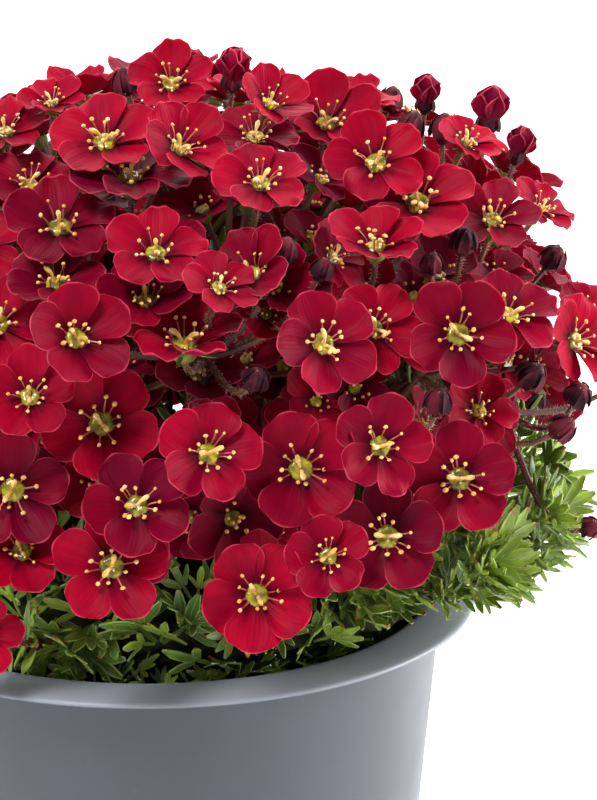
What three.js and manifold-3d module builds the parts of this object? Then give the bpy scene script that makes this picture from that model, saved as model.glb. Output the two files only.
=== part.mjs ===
// Mossy saxifrage in a plastic nursery pot: a domed plant of crimson five-petalled blooms on
// branched stems over a cushion of cut-leaved moss-like foliage, in compost.
// Millimetres, +Z up. The origin is the centre of the pot's flat base. +X is to the right of
// the photograph and -Y faces its camera.
import * as THREE from "three";
import { mergeVertices } from "three/addons/utils/BufferGeometryUtils.js";
import Module from "manifold-3d";

const WELD = 1e-3; // vertices closer than this are one

const wasm = await Module();
wasm.setup();

// Pot: a 12 cm nursery pot with a broad, nearly flat collar
const POT_HEIGHT = 105;
const COLLAR_RADIUS = 60;
const COLLAR_DROP = 0.9; // how far the collar's outer edge lies under its inner edge
const COLLAR_LIP = 0.8; // height of the turned-down lip
const MOUTH_RADIUS = 50.8;
const WALL_TOP_RADIUS = 53.8;
const BASE_RADIUS = 44;
const WALL = 1.3;
const BASE_THICKNESS = 2;
const DRAIN_RADIUS = 4.5;
const DRAIN_CIRCLE = 28;
const DRAINS = 6;
const POT_SIDES = 36;

// Compost, and the dense core of the cushion: an ellipsoid over the collar, on a plug in the mouth
const GAP = 0.35;
const SOIL_TOP = 97;
const CORE_CENTRE = new THREE.Vector3(7, 0, 108);
const CORE_RADII = new THREE.Vector3(49, 43, 21);
const CORE_FOOT_RADIUS = 43;

// Dome of blooms, an ellipsoid that leans to the right of the pot's axis
const DOME_CENTRE = new THREE.Vector3(10, 0, 133.7);
const DOME_RADII = new THREE.Vector3(76, 70, 72);
const DOME_FOOT = -9; // lowest bloom, against the dome's centre
const BLOOM_SPACING = 17.8;
const RULE_BLOOM_TRIES = 190;
const GRAZING = 0.3; // where the dome is seen flatter than this, blooms go in by rule too

// The photograph's skyline: x and y in its pixels. Blooms at the back stay under it.
const SKYLINE = [
  [-40, 125], [0, 108], [45, 88], [80, 76], [130, 72], [150, 44], [205, 42], [245, 48], [262, 76],
  [330, 80], [385, 90], [430, 74], [480, 86], [533, 132], [560, 200], [600, 285], [640, 340],
];
const SINK_STEP = 2; // downwards, until a bloom is under the skyline
const SINK_MOST = 24;

// Sprays
const SPRAYS = 38;
const STEM_RADIUS = 1.15;
const PEDICEL_RADIUS = 0.75;
const STEM_HEART = new THREE.Vector3(4, 0, 90); // where the lines of all stems meet
const STEM_DEPTH = 7; // how far a stem stands in the core
const NECK = 4; // from a bloom back to where its pedicel bends
const CLEAR = 0.45; // between one spray's rods and blooms and another's
const STEM_TRIES = [[0.35, 0], [0.35, 4], [0.35, -4], [0.5, 0], [0.5, 5], [0.5, -5], [0.2, 0],
  [0.2, 6], [0.2, -6], [0.65, 8], [0.65, -8], [0.1, 0]]; // share down to the core, swing
const BEND_TRIES = [[0, 0], [2.5, 0], [-2.5, 0], [0, 2.5], [0, -2.5], [5, 0], [-5, 0], [0, 5],
  [0, -5]];

// Foliage
const ROSETTES = 22;
const ROSETTE_LEAVES = 3;
const LEAF_LENGTH = 17;
const LEAF_THICKNESS = 0.7;
const SHOOTS = 5; // leafy shoots that reach past the collar on the right
const SHOOT_REACH = 17;
const BRACT_LENGTH = 8;
const BUD_MIDDLE = 0.37; // of a bud's length, from its foot up to its middle

// The photograph's view, in its own 597 x 800 pixels: used only to read where blooms stand
const PHOTO = { width: 597, height: 800, pixelsPerMm: 5.33, distance: 780 };
const VIEW_ELEVATION = 19.4; // degrees, from the rim's centre to the lens
const VIEW_PITCH = 16.79; // degrees below level
const VIEW_YAW = 2.1; // degrees to the right
const RIM_CENTRE = new THREE.Vector3(0, 0, POT_HEIGHT - COLLAR_DROP);

// Blooms that the photograph shows: x and y of the centre in its pixels, width in mm, how far
// the bloom faces right and up (sines), and the turn of its petals in degrees
const SEEN_BLOOMS = [
  [171, 86, 16, 0, 0.55, 90], [5, 135, 16, 0, 0.7, 20], [52, 106, 13, 0, 0.8, 50],
  [105, 145, 20, -0.05, 0.65, 100], [178, 150, 17, 0.45, 0.5, 30], [130, 182, 22, 0, 0.83, 60],
  [60, 230, 20, 0.05, 0.6, 95], [156, 256, 18, 0.05, 0.6, 85], [146, 303, 17, 0, 0.6, 45],
  [56, 286, 18, 0, 0.75, 70], [75, 340, 18.5, 0.3, 0.3, 20], [-2, 325, 18, 0.1, 0.3, 0],
  [184, 348, 21, 0, 0.83, 80], [260, 186, 17.5, 0.1, 0.65, 30], [255, 140, 17, 0, 0.75, 60],
  [268, 106, 14, 0.4, 0.6, 10], [326, 126, 18, 0.15, 0.6, 85], [376, 165, 18.5, 0, 0.45, 40],
  [417, 205, 21, 0, 0.5, 26], [376, 250, 17, 0, 0.8, 15], [330, 258, 14, 0.75, 0.3, 0],
  [254, 276, 17, -0.4, 0.45, 60], [218, 290, 14, 0.3, 0.6, 20], [322, 345, 19, 0.35, 0.2, 35],
  [373, 330, 17, 0.4, 0.2, 50], [457, 335, 20, 0.15, 0.1, 54], [508, 318, 18, 0.3, 0.6, 10],
  [492, 222, 17, 0.1, 0.6, 70], [540, 212, 14, 0.5, 0.7, 40], [465, 145, 13, 0.4, 0.7, 5],
  [572, 342, 18, 0.7, 0.2, 65], [585, 318, 15, 0.5, 0.5, 30], [30, 398, 17, 0, 0.3, 20],
  [102, 424, 21.5, 0, 0.15, 54], [207, 455, 18.5, 0.25, 0.25, 0], [301, 469, 21, 0, 0, 36],
  [379, 447, 18, 0.3, 0.15, 0], [459, 479, 20, 0, 0.1, 18], [387, 537, 20, 0, 0.1, 18],
  [13, 490, 20.5, 0, 0, 18], [137, 507, 19, 0, 0.35, 45], [112, 567, 20.5, 0, 0.1, 18],
  [257, 595, 20, 0, 0, 50], [22, 553, 17, 0, 0.35, 0], [-14, 636, 14, 0, 0.1, 10],
  [328, 557, 15, 0, 0.15, 30], [478, 412, 14, 0.3, 0.3, 60], [30, 188, 17, 0, 0.75, 15],
  [-22, 250, 18, 0, 0.5, 33], [84, 96, 14, -0.1, 0.95, 0], [362, 108, 15, 0.1, 0.9, 20],
];
// Unopened and closing buds that it shows: x, y and length in mm
const SEEN_BUDS = [
  [232, 70, 9], [425, 95, 8], [408, 124, 6], [443, 128, 6.5], [388, 98, 5.5], [487, 112, 10],
  [515, 146, 8], [548, 254, 6], [575, 390, 6], [554, 422, 6], [524, 370, 6.5], [280, 250, 6],
  [318, 268, 5], [252, 372, 6], [462, 240, 6], [432, 262, 5], [128, 80, 6], [586, 520, 5],
  [196, 400, 5], [436, 400, 6],
];

const UP = new THREE.Vector3(0, 0, 1);
const GOLDEN_ANGLE = Math.PI * (3 - Math.sqrt(5));
const radians = THREE.MathUtils.degToRad;

// A seeded draw from 0 to 1, the same on every run
function makeDraw(seed) {
  let state = seed;
  return () => {
    state = (state * 1664525 + 1013904223) % 4294967296;
    return state / 4294967296;
  };
}

// Solids

function solidOf(geometry) {
  const bare = geometry.clone();
  bare.deleteAttribute("normal");
  bare.deleteAttribute("uv");
  const merged = mergeVertices(bare, WELD);
  return new wasm.Manifold(
    new wasm.Mesh({
      numProp: 3,
      vertProperties: merged.attributes.position.array,
      triVerts: new Uint32Array(merged.index.array),
    }),
  );
}

function joined(solids) {
  return solids.reduce((whole, next) => whole.add(next));
}

// The largest closed body of a solid; scraps that a cut left loose are dropped
function mainBody(solid) {
  return solid.decompose().reduce((a, b) => (a.volume() > b.volume() ? a : b));
}

function geometryOf(solid) {
  const mesh = solid.getMesh();
  const points = new Float32Array(mesh.numVert * 3);
  for (let i = 0; i < mesh.numVert; i++) {
    points.set(mesh.vertProperties.subarray(i * mesh.numProp, i * mesh.numProp + 3), i * 3);
  }
  const geometry = new THREE.BufferGeometry();
  geometry.setAttribute("position", new THREE.BufferAttribute(points, 3));
  geometry.setIndex(new THREE.BufferAttribute(new Uint32Array(mesh.triVerts), 1));
  geometry.computeVertexNormals();
  return geometry;
}

// Two directions square to a line and to each other
function across(line) {
  const side = line.clone().cross(Math.abs(line.z) > 0.95 ? new THREE.Vector3(1, 0, 0) : UP);
  side.normalize();
  return [side, side.clone().cross(line).normalize()];
}

// A ring of points round a centre, square to a direction, its first point towards a side
function ring(centre, along, side, radius, sides) {
  const x = side.clone().addScaledVector(along, -side.dot(along)).normalize();
  const y = along.clone().cross(x);
  return Array.from({ length: sides }, (_, i) => {
    const a = (2 * Math.PI * i) / sides;
    return centre.clone()
      .addScaledVector(x, radius * Math.cos(a))
      .addScaledVector(y, radius * Math.sin(a));
  });
}

// Rings along a curve at shares of its length, turned the same way all along
function ringsAlong(curve, shares, radius, sides) {
  const chord = curve.v2.clone().sub(curve.v0).normalize();
  let side = curve.v1.clone().sub(curve.v0).normalize().cross(chord);
  if (side.length() < 0.05) [side] = across(chord);
  return shares.map((t) => ring(curve.getPoint(t), curve.getTangent(t), side, radius, sides));
}

function geometryFrom(points, triangles) {
  const geometry = new THREE.BufferGeometry();
  const flat = points.flatMap((p) => [p.x, p.y, p.z]);
  geometry.setAttribute("position", new THREE.Float32BufferAttribute(flat, 3));
  geometry.setIndex(triangles.flat());
  return geometry;
}

// The walls between rings of equal count, numbered from first, and the cap under the first ring
function wallTriangles(rings, first) {
  const sides = rings[0].length;
  const triangles = [];
  for (let i = 1; i < sides - 1; i++) triangles.push([first, first + i + 1, first + i]);
  for (let k = 0; k < rings.length - 1; k++) {
    for (let i = 0; i < sides; i++) {
      const a = first + k * sides + i;
      const b = first + k * sides + ((i + 1) % sides);
      triangles.push([a, b, b + sides], [a, b + sides, a + sides]);
    }
  }
  return triangles;
}

// A closed tube through rings, from the first to the last
function tubeSolid(rings) {
  const triangles = wallTriangles(rings, 0);
  const last = (rings.length - 1) * rings[0].length;
  for (let i = 1; i < rings[0].length - 1; i++) triangles.push([last, last + i, last + i + 1]);
  return solidOf(geometryFrom(rings.flat(), triangles));
}

// Triangles between an inner and an outer ring, each a list of {index, angle} by rising angle
function bridgeTriangles(inner, outer) {
  const turnsAt = (list, k) => 2 * Math.PI * Math.floor(k / list.length);
  const angleAt = (list, k) => list[k % list.length].angle + turnsAt(list, k);
  const indexAt = (list, k) => list[k % list.length].index;
  const triangles = [];
  let [i, j] = [0, 0];
  while (i < inner.length || j < outer.length) {
    const stepInner = i < inner.length
      && (j >= outer.length || angleAt(inner, i + 1) < angleAt(outer, j + 1));
    const corner = stepInner ? indexAt(inner, i + 1) : indexAt(outer, j + 1);
    triangles.push([indexAt(inner, i), corner, indexAt(outer, j)]);
    if (stepInner) i++;
    else j++;
  }
  return triangles;
}

// The matrix that stands a piece at a place, its +Z along facing and turned about it
function standing(place, facing, turn) {
  const z = facing.clone().normalize();
  const hint = Math.abs(z.z) > 0.95 ? new THREE.Vector3(0, 1, 0) : UP;
  const x = hint.clone().cross(z).normalize();
  const y = z.clone().cross(x);
  const spin = new THREE.Matrix4().makeRotationZ(turn);
  return new THREE.Matrix4().makeBasis(x, y, z).setPosition(place).multiply(spin);
}

// Pot

function potProfile() {
  const top = POT_HEIGHT;
  const collar = top - COLLAR_DROP;
  const lip = collar - COLLAR_LIP;
  const innerBase = BASE_RADIUS - WALL + (BASE_THICKNESS * (WALL_TOP_RADIUS - BASE_RADIUS)) / lip;
  return [
    [0, 0], [BASE_RADIUS - 1.2, 0], [BASE_RADIUS, 1.2], [WALL_TOP_RADIUS, lip],
    [COLLAR_RADIUS - 0.3, lip], [COLLAR_RADIUS, lip + 0.5], [COLLAR_RADIUS, collar - 0.1],
    [COLLAR_RADIUS - 0.6, collar + 0.35], [MOUTH_RADIUS + 1.2, top],
    [MOUTH_RADIUS + 0.3, top - 0.25], [MOUTH_RADIUS, top - 1],
    [WALL_TOP_RADIUS - WALL, lip - 1.6], [innerBase, BASE_THICKNESS], [0, BASE_THICKNESS],
  ].map(([r, z]) => new THREE.Vector2(r, z));
}

function latheSolid(profile, sides) {
  return solidOf(new THREE.LatheGeometry(profile, sides).rotateX(Math.PI / 2));
}

function makePot() {
  let pot = latheSolid(potProfile(), POT_SIDES);
  for (let i = 0; i < DRAINS; i++) {
    const a = (2 * Math.PI * (i + 0.5)) / DRAINS;
    const hole = new THREE.CylinderGeometry(DRAIN_RADIUS, DRAIN_RADIUS, 3 * BASE_THICKNESS, 8);
    hole.rotateX(Math.PI / 2);
    hole.translate(DRAIN_CIRCLE * Math.cos(a), DRAIN_CIRCLE * Math.sin(a), BASE_THICKNESS / 2);
    pot = pot.subtract(solidOf(hole));
  }
  return pot;
}

// Compost, a plug that fills the pot to just under its mouth
function makeSoil() {
  const slope = (WALL_TOP_RADIUS - BASE_RADIUS) / (POT_HEIGHT - COLLAR_DROP - COLLAR_LIP);
  const radiusAt = (z) => BASE_RADIUS + slope * z - WALL - GAP;
  const low = BASE_THICKNESS + GAP;
  const profile = [
    [0, low], [radiusAt(low) - 0.3, low], [radiusAt(SOIL_TOP) - 0.6, SOIL_TOP - 1.5],
    [0.7 * radiusAt(SOIL_TOP), SOIL_TOP], [0, SOIL_TOP],
  ].map(([r, z]) => new THREE.Vector2(r, z));
  return latheSolid(profile, 28);
}

// The view, to turn a pixel into a place on the dome

function lensFrame() {
  const [e, pitch, yaw] = [VIEW_ELEVATION, VIEW_PITCH, VIEW_YAW].map(radians);
  const back = new THREE.Vector3(0, -Math.cos(e), Math.sin(e));
  const place = RIM_CENTRE.clone().addScaledVector(back, PHOTO.distance);
  const ahead = new THREE.Vector3(
    Math.sin(yaw) * Math.cos(pitch), Math.cos(yaw) * Math.cos(pitch), -Math.sin(pitch));
  const right = new THREE.Vector3(Math.cos(yaw), -Math.sin(yaw), 0);
  const up = right.clone().cross(ahead);
  return { place, ahead, right, up, focal: PHOTO.pixelsPerMm * PHOTO.distance };
}
const lens = lensFrame();

function rayThrough(x, y) {
  return lens.ahead.clone().multiplyScalar(lens.focal)
    .addScaledVector(lens.right, x - PHOTO.width / 2)
    .addScaledVector(lens.up, PHOTO.height / 2 - y)
    .normalize();
}

function pixelOf(point) {
  const v = point.clone().sub(lens.place);
  const scale = lens.focal / v.dot(lens.ahead);
  return [PHOTO.width / 2 + scale * v.dot(lens.right), PHOTO.height / 2 - scale * v.dot(lens.up)];
}

// Where a ray meets the dome, or where it passes nearest if it misses
function onDome(ray) {
  const start = lens.place.clone().sub(DOME_CENTRE).divide(DOME_RADII);
  const step = ray.clone().divide(DOME_RADII);
  const [a, b, c] = [step.dot(step), start.dot(step), start.dot(start) - 1];
  const root = b * b - a * c;
  const t = (-b - Math.sqrt(Math.max(root, 0))) / a;
  return lens.place.clone().addScaledVector(ray, t);
}

function domeNormal(point) {
  return point.clone().sub(DOME_CENTRE).divide(DOME_RADII).divide(DOME_RADII).normalize();
}

function seenFacing(right, up) {
  const towards = Math.sqrt(Math.max(0.04, 1 - right * right - up * up));
  return lens.right.clone().multiplyScalar(right)
    .addScaledVector(lens.up, up)
    .addScaledVector(lens.ahead, -towards)
    .normalize();
}

// Blooms

// Height of a bloom's petals over its heart at a distance from its axis, for width 2
function cupHeight(share) {
  return 0.06 + 0.22 * share * share;
}

const PETALS = 5;
const NOTCH_SHARE = 0.64;
const CALYX_DEPTH = 0.16; // of the bloom's radius
const PETAL_THICKNESS = 0.8;
const PETAL_POINTS = [[-0.31, 0.93], [0, 1], [0.31, 0.93]]; // share of a fifth turn, of radius

// True where a petal or the heart of one bloom runs into the other
function bloomsTouch(a, b) {
  const inverse = standing(b.place, b.facing, b.turn).invert();
  const own = standing(a.place, a.facing, a.turn);
  for (const share of [0, 0.55, 0.8, 1]) {
    for (let i = 0; i < 10; i++) {
      const angle = (2 * Math.PI * i) / 10;
      const r = share * a.radius;
      const p = new THREE.Vector3(r * Math.cos(angle), r * Math.sin(angle),
        cupHeight(share) * a.radius).applyMatrix4(own).applyMatrix4(inverse);
      const away = Math.hypot(p.x, p.y) / b.radius;
      if (away < 1.04 && Math.abs(p.z - cupHeight(away) * b.radius) < 1.5) return true;
    }
  }
  return false;
}

// Moves a bloom along its line of sight, or in and out of the dome, until it clears the rest
function settle(bloom, line, others) {
  const home = bloom.place.clone();
  for (const shrink of [1, 0.94, 0.88]) {
    for (const shift of [0, 2.5, -2.5, 5, -5, 7.5, -7.5, 10]) {
      const tried = { ...bloom, radius: bloom.radius * shrink };
      tried.place = home.clone().addScaledVector(line, shift);
      const near = others.filter((o) => o.place.distanceTo(tried.place) < o.radius + tried.radius);
      if (!near.some((o) => bloomsTouch(tried, o) || bloomsTouch(o, tried))) return tried;
    }
  }
  return null;
}

// True where a petal of a bloom stands over the skyline
function overSkyline(bloom) {
  const matrix = standing(bloom.place, bloom.facing, bloom.turn);
  for (let i = 0; i < 10; i++) {
    const angle = (2 * Math.PI * i) / 10;
    const tip = new THREE.Vector3(Math.cos(angle), Math.sin(angle), cupHeight(1));
    const [x, y] = pixelOf(tip.multiplyScalar(bloom.radius).applyMatrix4(matrix));
    const k = SKYLINE.findIndex(([end]) => end > x);
    if (k < 1) continue;
    const [[x0, y0], [x1, y1]] = [SKYLINE[k - 1], SKYLINE[k]];
    if (y < y0 + ((y1 - y0) * (x - x0)) / (x1 - x0)) return true;
  }
  return false;
}

// Lowers a bloom until it is under the skyline
function sink(bloom) {
  for (let down = 0; down <= SINK_MOST && overSkyline(bloom); down += SINK_STEP) {
    bloom.place.addScaledVector(UP, -SINK_STEP);
  }
}

function makeBlooms() {
  const blooms = [];
  for (const [x, y, width, right, up, turn] of SEEN_BLOOMS) {
    const ray = rayThrough(x, y);
    const place = onDome(ray);
    const bloom = { place, facing: seenFacing(right, up), turn: radians(turn), radius: width / 2 };
    const settled = settle(bloom, ray, blooms);
    blooms.push(settled ?? { ...bloom, radius: 0.8 * bloom.radius });
  }
  const draw = makeDraw(7);
  for (let i = 0; i < RULE_BLOOM_TRIES; i++) {
    const height = 1 - ((i + 0.5) / RULE_BLOOM_TRIES) * (1 - DOME_FOOT / DOME_RADII.z);
    const [wobble, tip, turn, size] = [draw(), draw(), draw(), draw()];
    const angle = i * GOLDEN_ANGLE + 0.25 * (wobble - 0.5);
    const out = Math.sqrt(1 - height * height);
    const unit = new THREE.Vector3(out * Math.cos(angle), out * Math.sin(angle), height);
    const place = unit.clone().multiply(DOME_RADII).add(DOME_CENTRE);
    const [px, py] = pixelOf(place);
    const normal = domeNormal(place);
    const faces = normal.dot(lens.place.clone().sub(place).normalize()) > GRAZING;
    const inPhoto = px > -12 && px < 612 && py < 650;
    if (faces && inPhoto) continue;
    if (blooms.some((o) => o.place.distanceTo(place) < BLOOM_SPACING)) continue;
    const facing = normal.clone().addScaledVector(UP, 0.15 + 0.35 * tip).normalize();
    const bloom = { place, facing, turn: turn * 1.2566, radius: 8.4 + 2.2 * size };
    sink(bloom);
    const settled = settle(bloom, normal, blooms);
    if (settled && !overSkyline(settled)) blooms.push(settled);
  }
  return blooms;
}

// One bloom on its stalk, as one closed body: petals in a thin lobed cup, a raised heart, and a
// calyx that narrows into the stalk. The stalk's rings run from its root to the calyx.
function bloomSolid(bloom, stalkRings) {
  const R = bloom.radius;
  const fifth = (2 * Math.PI) / PETALS;
  const matrix = standing(bloom.place, bloom.facing, bloom.turn);
  const at = (angle, share, lift) => new THREE.Vector3(
    share * R * Math.cos(angle), share * R * Math.sin(angle), cupHeight(share) * R + lift);
  const upper = [];
  const lower = [];
  const heart = [];
  for (let k = 0; k < PETALS; k++) {
    const middle = k * fifth;
    const notch = middle - fifth / 2;
    heart.push(at(notch, 0.2, 0));
    upper.push(at(notch, NOTCH_SHARE, 0));
    lower.push(at(notch, NOTCH_SHARE - 0.08, -PETAL_THICKNESS));
    upper.push(...PETAL_POINTS.map(([turn, share]) => at(middle + turn * fifth, share, 0)));
    lower.push(at(middle, 0.94, -PETAL_THICKNESS));
  }
  const [u, l, h] = [0, upper.length, upper.length + lower.length];
  const tip = h + PETALS;
  const stalk = tip + 1;
  const perPetal = upper.length / PETALS;
  const triangles = [];
  for (let k = 0; k < PETALS; k++) {
    const [base, under] = [u + k * perPetal, l + 2 * k];
    const next = (k + 1) % PETALS;
    const [baseNext, underNext] = [u + next * perPetal, l + 2 * next];
    triangles.push([tip, h + k, h + next]);
    triangles.push([h + k, base, base + 1], [h + k, base + 1, base + 2]);
    triangles.push([h + k, base + 2, h + next], [h + next, base + 2, base + 3]);
    triangles.push([h + next, base + 3, baseNext]);
    triangles.push([base, under, base + 1], [base + 1, under, under + 1]);
    triangles.push([base + 1, under + 1, base + 2], [base + 2, under + 1, base + 3]);
    triangles.push([base + 3, under + 1, underNext], [base + 3, underNext, baseNext]);
  }
  const inverse = matrix.clone().invert();
  const start = -fifth / 2;
  const angleOf = (p) => THREE.MathUtils.euclideanModulo(Math.atan2(p.y, p.x) - start, 2 * Math.PI);
  const last = stalk + 3 * (stalkRings.length - 1);
  const inner = stalkRings.at(-1).map((p, i) => ({
    index: last + i, angle: angleOf(p.clone().applyMatrix4(inverse)),
  })).sort((a, b) => a.angle - b.angle);
  const outer = lower.map((_, i) => ({ index: l + i, angle: (i * fifth) / 2 }));
  triangles.push(...bridgeTriangles(inner, outer), ...wallTriangles(stalkRings, stalk));
  const local = [...upper, ...lower, ...heart, new THREE.Vector3(0, 0, 0.26 * R)];
  const points = [...local.map((p) => p.applyMatrix4(matrix)), ...stalkRings.flat()];
  return solidOf(geometryFrom(points, triangles));
}

// True where a point of a rod runs into a bloom
function nearBloom(point, bloom, radius) {
  const R = bloom.radius;
  const from = point.clone().sub(bloom.place);
  if (from.lengthSq() > (R + 3) ** 2) return false;
  const z = from.dot(bloom.facing);
  const away = Math.sqrt(Math.max(0, from.lengthSq() - z * z)) / R;
  if (away > 1.08) return false;
  const low = away < 0.35 ? -CALYX_DEPTH * R : cupHeight(away) * R - 0.9;
  const high = away < 0.25 ? 0.26 * R : cupHeight(away) * R;
  return z > low - radius - CLEAR && z < high + radius + CLEAR;
}

// Rods: a curve, its radius and the points along it that clearances are tested at

function makeRod(from, bend, to, radius) {
  const curve = new THREE.QuadraticBezierCurve3(from, bend, to);
  const count = Math.max(4, Math.ceil(from.distanceTo(to) / 1.3));
  const points = [];
  for (let i = 0; i <= count; i++) points.push(curve.getPoint(i / count));
  return { curve, radius, points };
}

// How many of a rod's points run into blooms other than its own, or into other sprays' rods
function clashes(rod, blooms, rods, own) {
  let count = 0;
  for (const p of rod.points) {
    if (blooms.some((b) => b !== own && nearBloom(p, b, rod.radius))) count++;
    for (const other of rods) {
      const least = (rod.radius + other.radius + CLEAR) ** 2;
      if (other.points.some((q) => p.distanceToSquared(q) < least)) count++;
    }
  }
  return count;
}

// Where the line from the stems' heart towards a point leaves the core
function coreExit(towards) {
  const step = towards.clone().sub(STEM_HEART).normalize();
  const start = STEM_HEART.clone().sub(CORE_CENTRE).divide(CORE_RADII);
  const scaled = step.clone().divide(CORE_RADII);
  const [a, b, c] = [scaled.dot(scaled), start.dot(scaled), start.dot(start) - 1];
  return STEM_HEART.clone().addScaledVector(step, (-b + Math.sqrt(b * b - a * c)) / a);
}

// Blooms in as many groups as there are sprays, each round the bloom farthest from the others
function gatherBlooms(blooms) {
  const hearts = [blooms[0].place];
  const nearest = blooms.map((b) => b.place.distanceTo(hearts[0]));
  while (hearts.length < SPRAYS) {
    const heart = blooms[nearest.indexOf(Math.max(...nearest))].place;
    hearts.push(heart);
    blooms.forEach((b, i) => {
      nearest[i] = Math.min(nearest[i], b.place.distanceTo(heart));
    });
  }
  const groups = hearts.map(() => []);
  for (const bloom of blooms) {
    const far = hearts.map((h) => h.distanceTo(bloom.place));
    groups[far.indexOf(Math.min(...far))].push(bloom);
  }
  return groups;
}

// The pedicel from a branch point to a bloom or bud, bent the first way that is clear
function makePedicel(branch, head, blooms, rods) {
  const end = head.place.clone().addScaledVector(head.facing, -CALYX_DEPTH * head.radius);
  const length = branch.distanceTo(end);
  const bend = end.clone().addScaledVector(head.facing, -0.5 * length);
  const [side, rise] = across(end.clone().sub(branch).normalize());
  let best = null;
  for (const [right, up] of BEND_TRIES) {
    const tried = bend.clone().addScaledVector(side, right).addScaledVector(rise, up);
    const rod = makeRod(branch, tried, end, PEDICEL_RADIUS);
    rod.clashes = clashes(rod, blooms, rods, head);
    if (!best || rod.clashes < best.clashes) best = rod;
    if (best.clashes === 0) break;
  }
  return best;
}

// One spray's stem and pedicels, by the try with the fewest clashes
function routeSpray(group, blooms, rods) {
  const crown = new THREE.Vector3();
  for (const b of group) crown.add(b.place).addScaledVector(b.facing, -NECK);
  crown.divideScalar(group.length);
  const exit = coreExit(crown);
  const line = exit.clone().sub(STEM_HEART).normalize();
  const foot = exit.clone().addScaledVector(line, -STEM_DEPTH);
  const [side] = across(line);
  let best = null;
  for (const [share, swing] of STEM_TRIES) {
    const branch = crown.clone().lerp(exit, share).addScaledVector(side, swing);
    const bend = foot.clone().addScaledVector(line, 0.6 * branch.distanceTo(foot));
    const stem = makeRod(foot, bend, branch, STEM_RADIUS);
    const pedicels = group.map((bloom) => makePedicel(branch, bloom, blooms, rods));
    const total = pedicels.reduce((sum, p) => sum + p.clashes, clashes(stem, blooms, rods, null));
    if (!best || total < best.total) best = { total, branch, line, foot, stem, pedicels };
    if (best.total === 0) break;
  }
  return best;
}

// Buds: where the photograph shows them, and by rule on the far side

function budPlaces(sprays) {
  const buds = [];
  for (const [x, y, length] of SEEN_BUDS) {
    const ray = rayThrough(x, y);
    const place = onDome(ray).addScaledVector(UP, -BUD_MIDDLE * length);
    buds.push({ place, ray, radius: length / 2 });
  }
  sprays.forEach((spray, i) => {
    const place = spray.branch.clone().addScaledVector(spray.line, 9);
    const [side] = across(spray.line);
    place.addScaledVector(side, i % 4 < 2 ? 7 : -7);
    if (i % 4 === 0 && place.y > 10) buds.push({ place, ray: spray.line, radius: 2.8 });
  });
  return buds;
}

function addBuds(sprays, blooms, rods) {
  for (const bud of budPlaces(sprays)) {
    for (const shift of [0, 3, -3, 6, -6, 9]) {
      const place = bud.place.clone().addScaledVector(bud.ray, shift);
      const far = sprays.map((s) => s.branch.distanceTo(place));
      const spray = sprays[far.indexOf(Math.min(...far))];
      const facing = place.clone().sub(spray.branch).normalize().add(UP).normalize();
      const head = { place, facing, radius: bud.radius };
      const end = place.clone().addScaledVector(facing, bud.radius);
      const tip = makeRod(place, place, end, bud.radius * 0.6);
      if (clashes(tip, blooms, rods, null)) continue;
      if (sprays.some((s) => s.buds.some((o) => o.place.distanceTo(place) < 7))) continue;
      const others = rods.filter((rod) => !spray.rods.includes(rod));
      const pedicel = makePedicel(spray.branch, head, blooms, others);
      if (pedicel.clashes) continue;
      spray.buds.push(head);
      spray.budPedicels.push(pedicel);
      spray.rods.push(pedicel, tip);
      rods.push(pedicel, tip);
      break;
    }
  }
}

function makeSprays(blooms) {
  const rods = [];
  const sprays = gatherBlooms(blooms).map((group) => {
    const routed = routeSpray(group, blooms, rods);
    const own = [routed.stem, ...routed.pedicels];
    rods.push(...own);
    return { ...routed, blooms: group, buds: [], budPedicels: [], rods: own };
  });
  addBuds(sprays, blooms, rods);
  return { sprays, rods };
}

// Leaves, bracts and buds

// A blade's outline as shares of its length, with heights for its arch, and its triangles
const LOBED_LEAF = {
  points: [[0, 0, 0], [0.38, -0.1, 0.05], [0.8, -0.4, 0.1], [0.64, -0.11, 0.03],
    [1, 0, 0.12], [0.64, 0.11, 0.03], [0.8, 0.4, 0.1], [0.38, 0.1, 0.05]],
  triangles: [[0, 1, 7], [1, 2, 3], [1, 3, 7], [3, 5, 7], [3, 4, 5], [5, 6, 7]],
};
const BRACT = {
  points: [[0, 0, 0], [0.5, -0.12, 0.04], [1, 0, 0.12], [0.5, 0.12, 0.04]],
  triangles: [[0, 1, 3], [1, 2, 3]],
};

// The matrix that lays a blade from its root along a line, its upper face towards a side
function laying(root, along, upper) {
  const x = along.clone().normalize();
  const y = upper.clone().cross(x).normalize();
  return new THREE.Matrix4().makeBasis(x, y, x.clone().cross(y)).setPosition(root);
}

function bladeSolid(outline, length, matrix) {
  const place = (lift) => outline.points.map(([x, y, z]) =>
    new THREE.Vector3(x * length, y * length, z * length + lift).applyMatrix4(matrix));
  const points = [...place(LEAF_THICKNESS / 2), ...place(-LEAF_THICKNESS / 2)];
  const count = outline.points.length;
  const faces = [];
  for (const [a, b, c] of outline.triangles) {
    faces.push([a, b, c], [a + count, c + count, b + count]);
  }
  for (let i = 0; i < count; i++) {
    const next = (i + 1) % count;
    faces.push([i, i + count, next], [next, i + count, next + count]);
  }
  return solidOf(geometryFrom(points, faces));
}

// The end of a stalk: its last ring lies square to the head that it carries
function stalkEnd(curve, head, sides) {
  const [first] = ringsAlong(curve, [0], 1, sides);
  const side = first[0].clone().sub(curve.v0);
  return ring(curve.v2, head.facing, side, PEDICEL_RADIUS, sides);
}

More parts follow.
